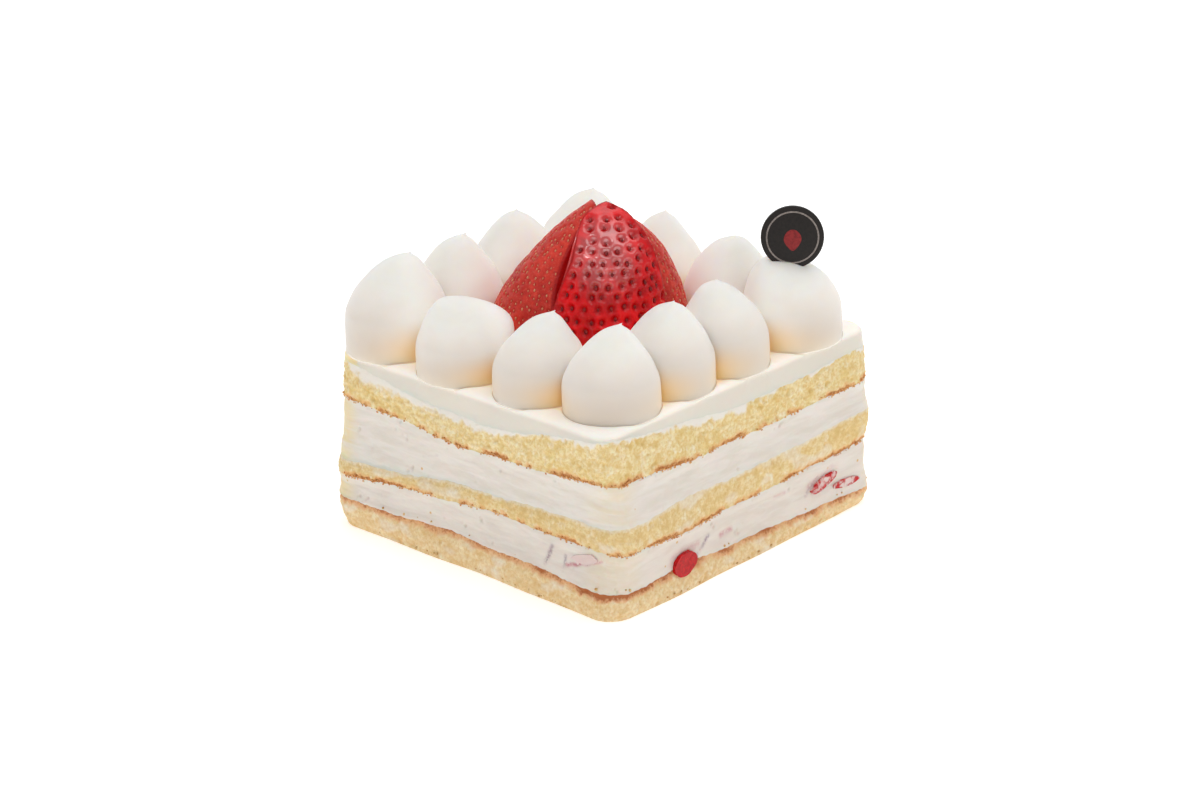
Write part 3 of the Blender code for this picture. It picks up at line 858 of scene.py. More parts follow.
# %% [markdown]
# Cream is white only beside other food. Its own colour is a warm, slightly grey white, with light that
# goes in a little way and comes out again. A few crumbs stick in it. They could be modelled, but at a
# third of a millimetre a cell texture draws them as well.

# %% Cream finish
CRUMB_CELL = 3.2


def cream_material(name, plain, shade):
    made, tree, shader = new_material(
        name, Roughness=0.5, Subsurface_Weight=0.25, Subsurface_Scale=0.0015, Specular_IOR_Level=0.3)
    soft = flow(tree, 6, 0.10, (0.5, 0.5, 2.5))
    fine = grain(tree, 0.7, 0.02)
    body = mix(tree, step_between(tree, soft.outputs["Mask"], 0.35, 0.7), plain, shade)
    # Painted shade: the torn pits are painted a darker grey-brown.
    body = mix(tree, times(tree, painted(tree, "pit"), 0.5), body, colour(206, 186, 170))
    cloud, grit = soft.outputs["Mask"], fine.outputs["Mask"]
    warm = times(tree, painted(tree, "warm"), step_between(tree, cloud, 0.2, 0.6))
    body = mix(tree, warm, body, colour(240, 220, 168))
    crumbs = put(tree, "ShaderNodeTexVoronoi", {
        "Vector": object_place(tree), "Scale": 1 / (CRUMB_CELL * MM)})
    chosen = put(tree, "ShaderNodeSeparateColor", {"Color": crumbs.outputs["Color"]})
    speck = times(tree, step_between(tree, crumbs.outputs["Distance"], 0.17, 0.09),
                  step_between(tree, chosen.outputs["Red"], 0.84, 0.9))
    body = mix(tree, speck, body, colour(222, 186, 128))
    streak = times(tree, painted(tree, "bruise"), step_between(tree, grit, 0.3, 0.55))
    body = mix(tree, streak, body, colour(150, 122, 138))
    wet = times(tree, painted(tree, "juice"), step_between(tree, grit, 0.25, 0.5))
    body = mix(tree, wet, body, colour(198, 96, 116))
    dress(tree, shader, body, soft)
    return made


UPPER_CREAM = cream_material("cream_upper_cut", colour(236, 228, 219), colour(228, 219, 207))
LOWER_CREAM = cream_material("cream_lower_cut", colour(236, 227, 217), colour(228, 217, 206))
settle(cream_sheet("cake_cream_upper", "middle_top", "upper_cream_top", 90),
       "cream", UPPER_CREAM, "cream_upper")
settle(cream_sheet("cake_cream_lower", "base_top", "lower_cream_top", 100),
       "cream", LOWER_CREAM, "cream_lower")

# %% [markdown]
# ## The icing
# A palette knife left the icing smooth on top, round at the shoulder and thin at its lower edge. A
# bevelled slab would do for the top, but the lower edge has to follow the ragged sponge. So it is one
# more strip. It climbs the side from the sponge's edge, turns over the shoulder and runs in over the
# flat top, with rows further and further apart where kisses hide it.

# %% The kisses' places and the icing's shape
# Each kiss is its solid, x, y, foot radius, height, lean in x and y, and how pointed it is.
KISSES = (
    ("kiss_left", -41.2, -39.4, 15.0, 28.2, 2.2, 1.5, 0.7),
    ("kiss_front_a", -12.5, -40.5, 13.9, 20.9, -3.4, -1.2, 0.2),
    ("kiss_front_b", 15.2, -39.0, 13.3, 23.4, 2.4, 2.4, 1.0),
    ("kiss_near", 38.8, -35.7, 13.4, 24.4, 1.8, 1.4, 1.0),
    ("kiss_side_a", 39.4, -14.2, 13.0, 25.0, 2.2, -0.6, 0.8),
    ("kiss_side_b", 40.4, 6.8, 13.0, 24.8, -1.0, -2.0, 0.8),
    ("kiss_right", 41.8, 34.0, 14.2, 23.3, -2.6, -2.6, 0.0),
    ("kiss_far_a", 18.7, 34.1, 13.6, 24.6, 0.4, 0.4, 0.5),
    ("kiss_far_b", -9.9, 36.3, 12.7, 25.6, 0.3, 0.3, 1.0),
    ("kiss_back", -40.0, 35.2, 14.8, 26.5, 1.8, 1.4, 0.9),
    ("kiss_rear_a", -41.7, 9.1, 14.2, 26.9, -0.5, -0.7, 0.8),
    ("kiss_rear_b", -41.2, -15.8, 13.4, 27.1, 1.3, 0.4, 0.9),
)
FOOT_DROP = 0.4
PLATEAU = 53.3
PLATEAU_SLOPE = (0.0057, 0.0086)
SHOULDER_DROP = (1.8, 1.8, 2.2, 2.8, 2.6, 1.6, 2.0, 1.8)
SHOULDER_WIDTH = (2.0, 2.6, 2.8, 3.8, 3.4, 2.4, 2.2, 3.2)
SKIRT_ROWS, SHOULDER_ROWS, TOP_ROWS = 14, 18, 26
TOP_REACH = 44.0
FOOT_OUT, FOOT_DOWN, LEAST_FILM = 0.06, 0.25, 0.7
BARE_ICING = ((-53, -53, 9.5, 1.0), (47.5, 55, 3.5, 1.0))
WALL_FADE, CREST_FADE = (-1.9, -0.5), (-2.3, -0.5)
print("kisses to pipe:", len(KISSES))

# %% [markdown]
# Wiped icing is nearly level on top, turns down softly at the edge and thins to a film on the side. A
# bevel could round the edge by one width only. The real shoulder is wider in some places, so its rows
# are placed one by one on a quarter turn, and its crease is then softened.

# %% Rows of the icing
def plateau_height(x, y):
    return PLATEAU + PLATEAU_SLOPE[0] * x + PLATEAU_SLOPE[1] * y


def icing_rows():
    step = strip_steps(COLUMNS)
    station = STATIONS * step / RIM_STEPS
    push = at_station(PUSH["top_sponge_edge"], station)
    drop, width = at_station(SHOULDER_DROP, station), at_station(SHOULDER_WIDTH, station)
    outward = np.pad(outline(step)[1], ((0, 0), (0, 1)))
    foot = ragged_rim("top_sponge_edge", step) + FOOT_OUT * outward - (0, 0, FOOT_DOWN)
    rows = []
    for turn in np.linspace(0, math.pi / 2, SHOULDER_ROWS):
        share = 1 - math.cos(turn)
        place, _ = outline(step, share * width)
        plan = place + outward[:, :2] * (push * (1 - share))[:, None]
        top = plateau_height(*plan.T) - drop * (1 - math.sin(turn))
        rows.append(np.column_stack([plan, np.maximum(top, foot[:, 2] + LEAST_FILM)]))
    skirt = [foot + (rows[0] - foot) * t for t in np.linspace(0, 1, SKIRT_ROWS)[:-1]]
    for share in np.linspace(0, 1, TOP_ROWS)[1:]:
        plan, _ = outline(step, width + (TOP_REACH - width) * share**1.6)
        rows.append(np.column_stack([plan, plateau_height(*plan.T)]))
    return np.array(skirt + rows), outward


def soften(rows, passes=4):
    """Round the crease where the film turns into the shoulder."""
    moved = slice(1, SKIRT_ROWS + 6)
    for _ in range(passes):
        below, above = rows[:SKIRT_ROWS + 5], rows[2:SKIRT_ROWS + 7]
        rows[moved] += 0.25 * (below - 2 * rows[moved] + above)
    return rows


print("height of the icing in the middle:", plateau_height(0, 0), "mm")

# %% [markdown]
# A kiss is heavy enough to press the icing level under its foot. Where two feet are close, daylight
# comes warm through the cream, and the thin crest of the shoulder lets some through too. A long render
# could trace that light. Painting the places gives the same look in a quick one.

# %% Icing under and between the kisses
GAP_REACH = 0.16


def under_kisses(places):
    """1 where a kiss presses on the icing, fading out just beyond its foot."""
    cover = np.zeros(places.shape[:-1])
    for _, x, y, radius, *_ in KISSES:
        away = np.hypot(places[..., 0] - x, places[..., 1] - y) / radius
        cover = np.maximum(cover, 1 - ease(0.95, 1.08, away))
    return cover


def between_kisses(places):
    """1 in the gaps where two feet are close, where light comes warm through the cream."""
    near = np.zeros(places.shape[:-1])
    for _, x, y, radius, *_ in KISSES:
        away = np.hypot(places[..., 0] - x, places[..., 1] - y) / radius
        near += np.exp(-np.maximum(away - 1, 0) / GAP_REACH)
    level = plateau_height(places[..., 0], places[..., 1])
    return ease(0.85, 1.35, near) * ease(-1.0, -0.2, places[..., 2] - level)


def icing_piece():
    places, outward = icing_rows()
    places = soften(places)
    above_foot = places[..., 2] - places[0, :, 2]
    on_top = ease(-1.0, 3.0, SIDE / 2 - np.abs(places[..., :2]).max(-1))
    relief = 0.22 * wander(places * (0.5, 0.5, 1), 4.5, 110) + 0.07 * wander(places, 1.6, 111)
    places = places + outward * (relief * (1 - on_top) * ease(0, 1.5, above_foot))[..., None]
    level = plateau_height(places[..., 0], places[..., 1])
    carried = level - np.minimum(level - places[..., 2], FOOT_DROP + 0.15)
    places[..., 2] += (carried - places[..., 2]) * under_kisses(places) * ease(0.5, 2.5, above_foot)
    places[..., 2] += 0.16 * on_top * wander(places, 7, 112)
    from_top = places[..., 2] - level
    # The wall is where the icing turns down the side. The finish paints it greyer, as painted shade.
    wall = 1 - ease(*WALL_FADE, from_top)
    wall[:SKIRT_ROWS] = 1
    return wrap_strip("cake_icing", places, bare=marks(places, BARE_ICING), wall=wall,
                      between=between_kisses(places), crest=ease(*CREST_FADE, from_top))


print("the wall fades in", -WALL_FADE[0], "to", -WALL_FADE[1], "mm below the top")

# %% [markdown]
# Icing is nearly white on top, where it faces the room, and the wall is painted a little greyer, as
# painted shade. Light that comes through cream is added as a faint glow of the material. It isn't
# sampled as a lamp, so it lights nothing else and the render stays quick.

# %% Icing finish
CREST_GLOW = 0.17


def light_through(made, tree, shader, layer, strength, tint):
    shader.inputs["Emission Color"].default_value = tint
    made.cycles.emission_sampling = "NONE"
    glow = times(tree, painted(tree, layer), strength)
    tree.links.new(glow, shader.inputs["Emission Strength"])


def icing_material():
    made, tree, shader = new_material(
        "icing_wiped", Roughness=0.42, Subsurface_Weight=0.35, Subsurface_Scale=0.002,
        Specular_IOR_Level=0.35)
    soft = flow(tree, 7, 0.15, (1, 1, 2))
    cloud = step_between(tree, soft.outputs["Mask"], 0.35, 0.7)
    body = mix(tree, cloud, colour(252, 247, 239), colour(249, 242, 231))
    # Painted shade: the wall is painted greyer than the top.
    body = mix(tree, painted(tree, "wall"), body, colour(229, 221, 208))
    body = mix(tree, times(tree, painted(tree, "between"), 0.8), body, colour(252, 220, 164))
    crumb = grain(tree, 1.3, 0.0).outputs["Mask"]
    ragged = times(tree, sums(tree, "SUBTRACT", crumb, 0.5), 0.9)
    thin = sums(tree, "ADD", painted(tree, "bare"), ragged)
    body = mix(tree, step_between(tree, thin, 0.35, 0.65), body, colour(244, 220, 166))
    dress(tree, shader, body, soft)
    light_through(made, tree, shader, "crest", CREST_GLOW, colour(255, 250, 240))
    return made


ICING = settle(icing_piece(), "icing", icing_material(), "icing_top")

# %% [markdown]
# ## Piped kisses
# A kiss is cream pushed from a round nozzle and pulled off short: a low dome, widest near its foot,
# with a small pointed peak. It could be sculpted from a ball. Spinning is nearer to how it was made:
# half of its outline is drawn as a chain of points, and spun once round. That master is copied for
# each kiss, so that they are plainly of one kind.

# %% Spin the master kiss
# Each point of the profile is its radius, its height, and its height on a kiss without a point.
KISS_PROFILE = (
    (0.00, 0.00, 0.00), (0.50, 0.00, 0.00), (0.975, 0.00, 0.00), (0.994, 0.008, 0.01),
    (1.00, 0.035, 0.04), (1.00, 0.14, 0.16), (0.985, 0.33, 0.40), (0.91, 0.45, 0.55),
    (0.80, 0.57, 0.70), (0.66, 0.67, 0.81), (0.52, 0.77, 0.885), (0.33, 0.88, 0.955),
    (0.14, 0.945, 0.985), (0.045, 0.975, 0.995), (0.00, 1.00, 1.00))
PROFILE_POINTS = 85
SPIN_STEPS = 96


def smooth_rows(rows, count):
    """More points along a row of values, on a smooth curve through them."""
    rows = np.array(rows, float)
    place = np.linspace(0, len(rows) - 1, count)
    k = np.minimum(place.astype(int), len(rows) - 2)
    t = (place - k)[:, None]
    ends = np.vstack([rows[:1], rows, rows[-1:]])
    return smooth_between(*(ends[k + j] for j in range(4)), t)


def spin_master(name, profile, steps):
    """A closed round shape from a profile of radius and height, both from 0 to about 1."""
    clear_selection()
    bpy.ops.mesh.primitive_plane_add(size=0.1)
    master = new_piece(name)
    bpy.ops.object.mode_set(mode="EDIT")
    bpy.ops.mesh.select_all(action="SELECT")
    bpy.ops.mesh.merge(type="CENTER")
    last = np.zeros(2)
    for radius, height in profile:
        move = (radius - last[0], 0, height - last[1])
        if abs(move[0]) + abs(move[2]) > 1e-9:
            bpy.ops.mesh.extrude_region_move(TRANSFORM_OT_translate={"value": move})
        last = np.array((radius, height))
    bpy.ops.mesh.select_all(action="SELECT")
    bpy.ops.mesh.spin(steps=steps, angle=2 * math.pi, center=(0, 0, 0), axis=(0, 0, 1))
    bpy.ops.object.mode_set(mode="OBJECT")
    return tidy_mesh(master, merge=1e-5)


CURVE = np.maximum(smooth_rows(KISS_PROFILE, PROFILE_POINTS), 0)
CURVE[-1, 0] = 0
MASTER_KISS = spin_master("kiss_master", CURVE[:, :2], SPIN_STEPS)
print("master kiss:", len(MASTER_KISS.data.vertices), "points")

# %% [markdown]
# No two kisses are alike. Each copy gets its own size, its top leans over, and its peak curls further,
# which a high power of the height gives. Soft cream also gives way. Its foot is laid on the icing with
# rays cast down, and it goes flat where a neighbour touches it, so no kiss cuts into the next.

# %% Shape each kiss
LEAN_POWER, HOOK_POWER = 4, 18
PLAIN_HOOK = (0.9, 0.8)
HOOKS = {"kiss_left": (2.1, 1.9), "kiss_rear_b": (1.9, 1.7), "kiss_front_a": (-0.6, -0.4),
         "kiss_right": (-1.2, -1.2)}
FULL_SIDE = {"kiss_front_a": (45, 3.0)}
FOOT_LIFT, FOOT_SHARE = 0.02, 0.12
PRESS_SOFTNESS, PRESS_REACH = 0.3, 5.0


def icing_heights(points):
    """Height of the icing below each point. Cream bridges the deepest dips."""
    bpy.context.view_layer.update()
    lowest = plateau_height(*points.T) - FOOT_DROP
    heights = []
    for (x, y), least in zip(points, lowest):
        hit, spot, _, _ = ICING.ray_cast(Vector((x, y, 100)) * MM, Vector((0, 0, -1)))
        heights.append(max(spot.z / MM, least) if hit else least)
    return np.array(heights)


def shape_kiss(points, row):
    name, x, y, radius, height, lean_x, lean_y, pointed = row
    hook_x, hook_y = HOOKS.get(name, PLAIN_HOOK)
    share = points[:, 2]
    domed = np.interp(share, CURVE[:, 1], CURVE[:, 2])
    up = domed + (share - domed) * pointed
    placed = np.column_stack([
        x + points[:, 0] * radius + lean_x * up**LEAN_POWER + hook_x * up**HOOK_POWER,
        y + points[:, 1] * radius + lean_y * up**LEAN_POWER + hook_y * up**HOOK_POWER,
        np.zeros(len(points))])
    facing, fuller = FULL_SIDE.get(name, (0, 0.0))
    side = np.array((math.cos(math.radians(facing)), math.sin(math.radians(facing))))
    fullness = fuller * np.maximum(points[:, :2] @ side, 0) * ease(0.35, 0.85, up) / 0.6
    placed[:, :2] += fullness[:, None] * side
    foot = plateau_height(x, y) * np.ones(len(points))
    low = up < FOOT_SHARE
    foot[low] = icing_heights(placed[low, :2])
    settled = foot + (plateau_height(x, y) - foot) * ease(0, FOOT_SHARE, up)
    placed[:, 2] = settled + up * height + FOOT_LIFT
    return placed, up


def press(points, row, other):
    """Flatten a kiss softly against the upright plane that it shares with its neighbour."""
    here, there = np.array(row[1:3]), np.array(other[1:3])
    span = np.linalg.norm(there - here)
    normal = (there - here) / span
    share = (span**2 + row[3] ** 2 - other[3] ** 2) / (2 * span)
    beyond = (points[:, :2] - here) @ normal - share
    kept = -PRESS_SOFTNESS * np.logaddexp(0, -beyond / PRESS_SOFTNESS)
    pressed = points.copy()
    pressed[:, :2] += (kept - beyond)[:, None] * normal
    return pressed, np.exp(np.minimum(beyond, 0) / PRESS_REACH)


print("peaks with a curl of their own:", sorted(HOOKS))

# %% [markdown]
# Piped kisses touch their neighbours and flatten a little where they meet. A collision in a soft body
# would do it too, but slowly. Here each kiss is a copy of the master with its own mesh, pressed softly
# against the two planes that it shares with its neighbours, and then set down on the icing.

# %% One kiss
def kiss_piece(n, row):
    take(MASTER_KISS)
    bpy.ops.object.duplicate()
    piece = new_piece("cream_" + row[0])
    points, up = shape_kiss(points_of(piece), row)
    points[:, :2] += 0.5 * up[:, None] * wander(points, 11, 120 + n)[:, None]
    close = np.zeros(len(points))
    for other in (KISSES[n - 1], KISSES[(n + 1) % len(KISSES)]):
        points, near = press(points, row, other)
        close = np.maximum(close, near)
    set_points(piece, points * MM)
    # Painted light: a warm glow low on the kiss, strongest beside a neighbour.
    glow = (1 - ease(0.08, 0.46, up)) * (0.05 + 0.95 * close)
    centre = np.array(row[1:3])
    facing_out = (points[:, :2] - centre) @ centre / (np.linalg.norm(centre) * row[3])
    # Painted shade: the lower outside of the kiss is painted greyer.
    low = (1 - ease(0.12, 0.85, up)) * (0.15 + 0.85 * ease(-0.5, 0.5, facing_out))
    inner = ease(-0.05, 0.6, -facing_out) * ease(0.0, 0.5, up)
    paint(piece, glow=glow, low=low, inner=inner)
    return tidy_mesh(piece, sharp=75)


print("kiss feet in mm:", [row[3] for row in KISSES])

# %% [markdown]
# Whipped cream is the softest-looking thing here, because light goes far into it. The material has a
# high subsurface weight with warm edges, and a little sheen for its dull skin. Three painted layers
# help, all of them painted light or shade: a warm glow painted on the foot beside a neighbour, painted
# shade that makes the lower outside greyer, and the inner side, which the white ring of kisses lights,
# gives off a little light.

# %% Kiss finish
INNER_GLOW = 0.12


def kiss_material():
    made, tree, shader = new_material(
        "cream_piped", Roughness=0.45, Subsurface_Weight=0.9, Subsurface_Scale=0.008,
        Specular_IOR_Level=0.3, Sheen_Weight=0.3, Sheen_Roughness=0.6)
    shader.inputs["Subsurface Radius"].default_value = (1.0, 0.85, 0.65)
    soft = flow(tree, 9, 0.06, (1, 1, 1.5))
    cloud = step_between(tree, soft.outputs["Mask"], 0.3, 0.7)
    high = mix(tree, cloud, colour(252, 247, 241), colour(249, 243, 236))
    # Painted shade: the lower outside is painted greyer.
    body = mix(tree, painted(tree, "low"), high, colour(216, 207, 197))
    # Painted light: a warm glow painted on the foot beside a neighbour.
    body = mix(tree, painted(tree, "glow"), body, colour(252, 210, 146))
    light_through(made, tree, shader, "inner", INNER_GLOW, colour(236, 250, 244))
    dress(tree, shader, body, soft)
    return made


PIPED = kiss_material()
for kiss_number, kiss_row in enumerate(KISSES):
    settle(kiss_piece(kiss_number, kiss_row), "kiss", PIPED, kiss_row[0])
bpy.data.objects.remove(MASTER_KISS)

# %% [markdown]
# ## The strawberry
# One strawberry is cut lengthwise in four and stood up again, a little open. A quarter could be built
# face by face, but a knife does it better: each one starts as a whole berry, a sphere drawn to the
# berry's outline, and two planes cut it. The foot and the tip of each are given apart, because the
# quarters lean away from each other.

# %% Berry outlines
FRONT, LEFT = "strawberry_front", "strawberry_left"
# Each berry is its solid, foot x and y, tip x, y and z, radius, reach forward, and the azimuth and lean
# of its first and last cut.
BERRIES = (
    (FRONT, 4.2, -5.4, 3.6, 0.6, 95.2, 19.8, 1.0, (-86, 12.0), (6, 2.0)),
    ("strawberry_right", 8.6, 8.2, 5.0, 4.6, 89.8, 14.2, 1.0, (6, 2.0), (85, 2.0)),
    ("strawberry_back", -6.0, 7.6, -1.6, 5.4, 88.6, 13.6, 1.0, (85, 2.0), (150, 2.0)),
    (LEFT, -11.0, -11.0, 1.8, 3.4, 95.4, 16.0, 1.18, (150, 2.0), (274, -6.0)),
)
BERRY_AXIS = (-1.0, 2.0)
BERRY_OPEN, BERRY_LIFT = 0.3, 0.2
BERRY_HEIGHTS = (0.00, 0.00, 0.10, 0.24, 0.38, 0.52, 0.65, 0.77, 0.87, 0.95, 1.00)
PLAIN_WIDTHS = (0.00, 0.86, 0.98, 1.00, 0.97, 0.90, 0.79, 0.64, 0.46, 0.26, 0.00)
BERRY_WIDTHS = {
    FRONT: (0.00, 0.86, 0.98, 1.00, 0.98, 0.93, 0.85, 0.74, 0.60, 0.42, 0.00),
    LEFT: (0.00, 0.86, 0.98, 1.00, 0.96, 0.86, 0.73, 0.57, 0.40, 0.22, 0.00)}
BERRY_RINGS = 80


def berry_curve(solid):
    """The outline of a berry: its share of the radius and of the length, ring by ring."""
    rows = list(zip(BERRY_WIDTHS.get(solid, PLAIN_WIDTHS), BERRY_HEIGHTS))
    return np.maximum(smooth_rows(rows, BERRY_RINGS + 1), 0)


BERRY_CURVES = {row[0]: berry_curve(row[0]) for row in BERRIES}


def berry_place(row, turn, along, out):
    """The point of a berry at an angle round it, a share of its length and a share of its radius."""
    _, foot_x, foot_y, tip_x, tip_y, tip_z, radius, reach, first, last = row
    foot = np.array((foot_x, foot_y, plateau_height(foot_x, foot_y) + BERRY_LIFT))
    tip = np.array((tip_x, tip_y, tip_z))
    middle = math.radians((first[0] + last[0]) / 2)
    ahead = np.array((math.cos(middle), math.sin(middle)))
    ring = np.stack([np.cos(turn), np.sin(turn)], -1)
    ring = ring + (ring @ ahead)[..., None] * ahead * (reach - 1)
    place = foot + (tip - foot) * along[..., None]
    place[..., :2] += ring * (out * radius)[..., None]
    ground = plateau_height(place[..., 0], place[..., 1]) + BERRY_LIFT
    place[..., 2] = np.maximum(place[..., 2], ground)
    return place


print("berry radii in mm:", [row[6] for row in BERRIES])

# %% [markdown]
# The knife leaned a little differently for each cut. On the left quarter it also took a narrow band off
# the edge, so flesh shows beside the front quarter. The tip of the front quarter is soft, and its edge
# is bent over to the left one.

# %% Cuts
BAND_POINT, BAND_FACING, BAND_RISE = (2.8, -20.8, 61.5), -25, 0.29
TIP_FOLD, FOLD_START, FOLD_END, FOLD_REACH = 5.0, 82.0, 93.5, 9.0


def cut_planes(row):
    """Point and outward normal of each cut of a quarter."""
    planes = []
    for (azimuth, lean), side in ((row[8], -1), (row[9], 1)):
        angle = math.radians(azimuth)
        flat = np.array((-math.sin(angle), math.cos(angle), 0)) * side
        point = np.array((*BERRY_AXIS, PLATEAU)) - flat * BERRY_OPEN / 2
        normal = flat + np.array((0, 0, math.tan(math.radians(lean))))
        planes.append((point, normal / np.linalg.norm(normal)))
    if row[0] == LEFT:
        planes.append(band_plane())
    return planes


def band_plane():
    """The narrow cut along the edge of the left quarter."""
    azimuth = math.radians(BAND_FACING)
    normal = np.array((math.cos(azimuth), math.sin(azimuth), BAND_RISE))
    return np.array(BAND_POINT), normal / np.linalg.norm(normal)


def fold_tip(points, plane):
    """Bend the edge of the tip beyond the plane of its cut."""
    point, normal = plane
    from_cut = -(points - point) @ normal
    high = ease(FOLD_START, FOLD_END, points[:, 2])
    bend = TIP_FOLD * high * np.exp(-np.maximum(from_cut, 0) / FOLD_REACH)
    folded = points.copy()
    folded[:, :2] += bend[:, None] * normal[:2]
    return folded


print("cuts of the left quarter:", len(cut_planes(BERRIES[-1])))

# %% [markdown]
# Bisect fills each cut with one big face, which can't hold any detail. A voxel remesh then gives skin
# and cut faces the same fine points. Dividing the faces again and again would leave long thin ones.

# %% One quarter
BERRY_SEGMENTS, BERRY_VOXEL = 120, 0.36


def quarter(row):
    clear_selection()
    bpy.ops.mesh.primitive_uv_sphere_add(segments=BERRY_SEGMENTS, ring_count=BERRY_RINGS, radius=1)
    piece = new_piece("cut_" + row[0])
    ball = points_of(piece)
    ring = np.arccos(np.clip(-ball[:, 2], -1, 1)) / math.pi * BERRY_RINGS
    out, along = BERRY_CURVES[row[0]][np.rint(ring).astype(int)].T
    set_points(piece, berry_place(row, np.arctan2(ball[:, 1], ball[:, 0]), along, out) * MM)
    for point, normal in cut_planes(row):
        take(piece)
        bpy.ops.object.mode_set(mode="EDIT")
        bpy.ops.mesh.select_all(action="SELECT")
        bpy.ops.mesh.bisect(plane_co=point * MM, plane_no=normal, use_fill=True, clear_outer=True)
        bpy.ops.object.mode_set(mode="OBJECT")
    if row[0] == FRONT:
        set_points(piece, fold_tip(points_of(piece) / MM, cut_planes(row)[0]) * MM)
    tidy_mesh(piece)
    piece.data.remesh_voxel_size = BERRY_VOXEL * MM
    bpy.ops.object.voxel_remesh()
    print(piece.name, "after the remesh:", len(piece.data.vertices), "points")
    return piece


print("points on a quarter are about", BERRY_VOXEL, "mm apart")

# %% [markdown]
# Seeds grow in staggered rings, each in its own small dimple. On the front quarter they are large and
# well apart, and on the others small and close. They could be scattered anywhere, but the rings are
# what makes a strawberry look right, so each seed is only nudged a little out of line.

# %% Seed places
SEED_SPACING = {FRONT: 3.7, "strawberry_right": 2.3, "strawberry_back": 2.6, LEFT: 2.1}
RING_SHARE = 0.84


def seed_places(row, spacing, dice):
    """Seeds in staggered rings up the berry, each a little out of line."""
    curve = BERRY_CURVES[row[0]]
    along_curve = np.linspace(0, 1, 400)
    out = np.interp(along_curve, curve[:, 1], curve[:, 0])
    height = row[5] - PLATEAU
    steps = np.hypot(np.diff(out) * row[6], np.diff(along_curve) * height)
    run = np.concatenate([[0], np.cumsum(steps)])
    loose = 0.14 if row[0] == FRONT else 0.36
    places = []
    for n, distance in enumerate(np.arange(spacing * 0.7, run[-1] - 1.0, spacing * RING_SHARE)):
        along = np.interp(distance, run, along_curve)
        wide = np.interp(distance, run, out)
        count = max(3, round(2 * math.pi * wide * row[6] / spacing))
        for k in range(count):
            turn = 2 * math.pi * (k + 0.5 * (n % 2) + dice.uniform(-loose, loose)) / count
            nudge = along + dice.uniform(-loose, loose) * spacing / height
            places.append((turn, min(nudge, 0.985)))
    turn, along = np.array(places).T
    out = np.interp(along, curve[:, 1], curve[:, 0])
    return berry_place(row, turn, along, out)


def on_skin(points, planes, clear):
    """Which points lie clear of the cuts."""
    keep = np.ones(len(points), bool)
    for point, normal in planes:
        keep &= (points - point) @ normal < -clear
    return keep


print("seeds are", SEED_SPACING[FRONT], "mm apart on the front quarter")

# %% [markdown]
# The dimples are pressed along the normals of the remeshed skin, deep ones on the front quarter. Where
# each point lies on skin, on a cut or in a dimple is painted for the material, and so is the wet
# patch near the front tip.

# %% Dimples
DIMPLE_DEPTH, PLAIN_DIMPLE, DIMPLE_SHARE = {FRONT: 1.05}, 0.4, 0.33
WET_MIDDLE, WET_REACH = np.array((12.5, -10.0, 84.0)), np.array((9.0, 9.0, 12.5))
SEED_PROUD, SEED_CLEAR = 0.12, 0.7


def point_tree(points):
    """The points, sorted so that the nearest one is found quickly."""
    tree = KDTree(len(points))
    for n, point in enumerate(points):
        tree.insert(point, n)
    tree.balance()
    return tree


def cut_distance(points, row):
    """How far each point is from the nearest cut, which the front tip's fold has moved."""
    planes = cut_planes(row)
    away = [(points - q) @ w for q, w in planes]
    if row[0] == FRONT:
        moved = 1 - planes[0][1][2] ** 2
        away[0] -= TIP_FOLD * ease(FOLD_START, FOLD_END, points[:, 2]) * moved
    return np.min(np.abs(away), axis=0)


def dimple(piece, row, dice):
    """Press the dimples, paint skin and cut, and return each seed's place and direction."""
    spacing, deep = SEED_SPACING[row[0]], DIMPLE_DEPTH.get(row[0], PLAIN_DIMPLE)
    planes = cut_planes(row)
    seeds = seed_places(row, spacing, dice)
    seeds = seeds[on_skin(seeds, planes, SEED_CLEAR) & (seeds[:, 2] > PLATEAU + 1.0)]
    if row[0] == FRONT:
        seeds = fold_tip(seeds, planes[0])
    points = points_of(piece) / MM
    normals = np.array([v.normal for v in piece.data.vertices])
    tree = point_tree(seeds)
    away = np.array([tree.find(p)[2] for p in points])
    cut = 1 - ease(0.25, 0.7, cut_distance(points, row))
    hollow = np.exp(-((away / (DIMPLE_SHARE * spacing)) ** 3)) * (1 - cut)
    bulge = 0.35 * wander(points, 9, 150) + 0.10 * wander(points, 2.6, 151)
    flesh = 0.16 * wander(points, 3.0, 152) + 0.05 * wander(points, 1.0, 153)
    shift = (bulge - deep * hollow) * (1 - cut) + flesh * cut
    set_points(piece, (points + normals * shift[:, None]) * MM)
    from_wet = np.linalg.norm((points - WET_MIDDLE) / WET_REACH, axis=1)
    wet = np.exp(-(from_wet**4)) * (1 - cut) * (row[0] == FRONT)
    paint(piece, cut=cut, hollow=hollow, wet=wet)
    near = point_tree(points)
    found = [near.find(seed)[1] for seed in seeds]
    return [(points[n] + normals[n] * (shift[n] + SEED_PROUD), normals[n]) for n in found]


print("deepest dimples:", DIMPLE_DEPTH[FRONT], "mm")

# %% [markdown]
# A seed is a flat little egg. One is modelled as a small icosphere of few faces, and copied to each
# place with its flat side on the skin. All seeds of a quarter become one mesh, which is easier to keep
# than a hundred pieces.

# %% Seeds
BIG_SEED, SMALL_SEED = (0.50, 0.34, 0.70), (0.28, 0.22, 0.42)


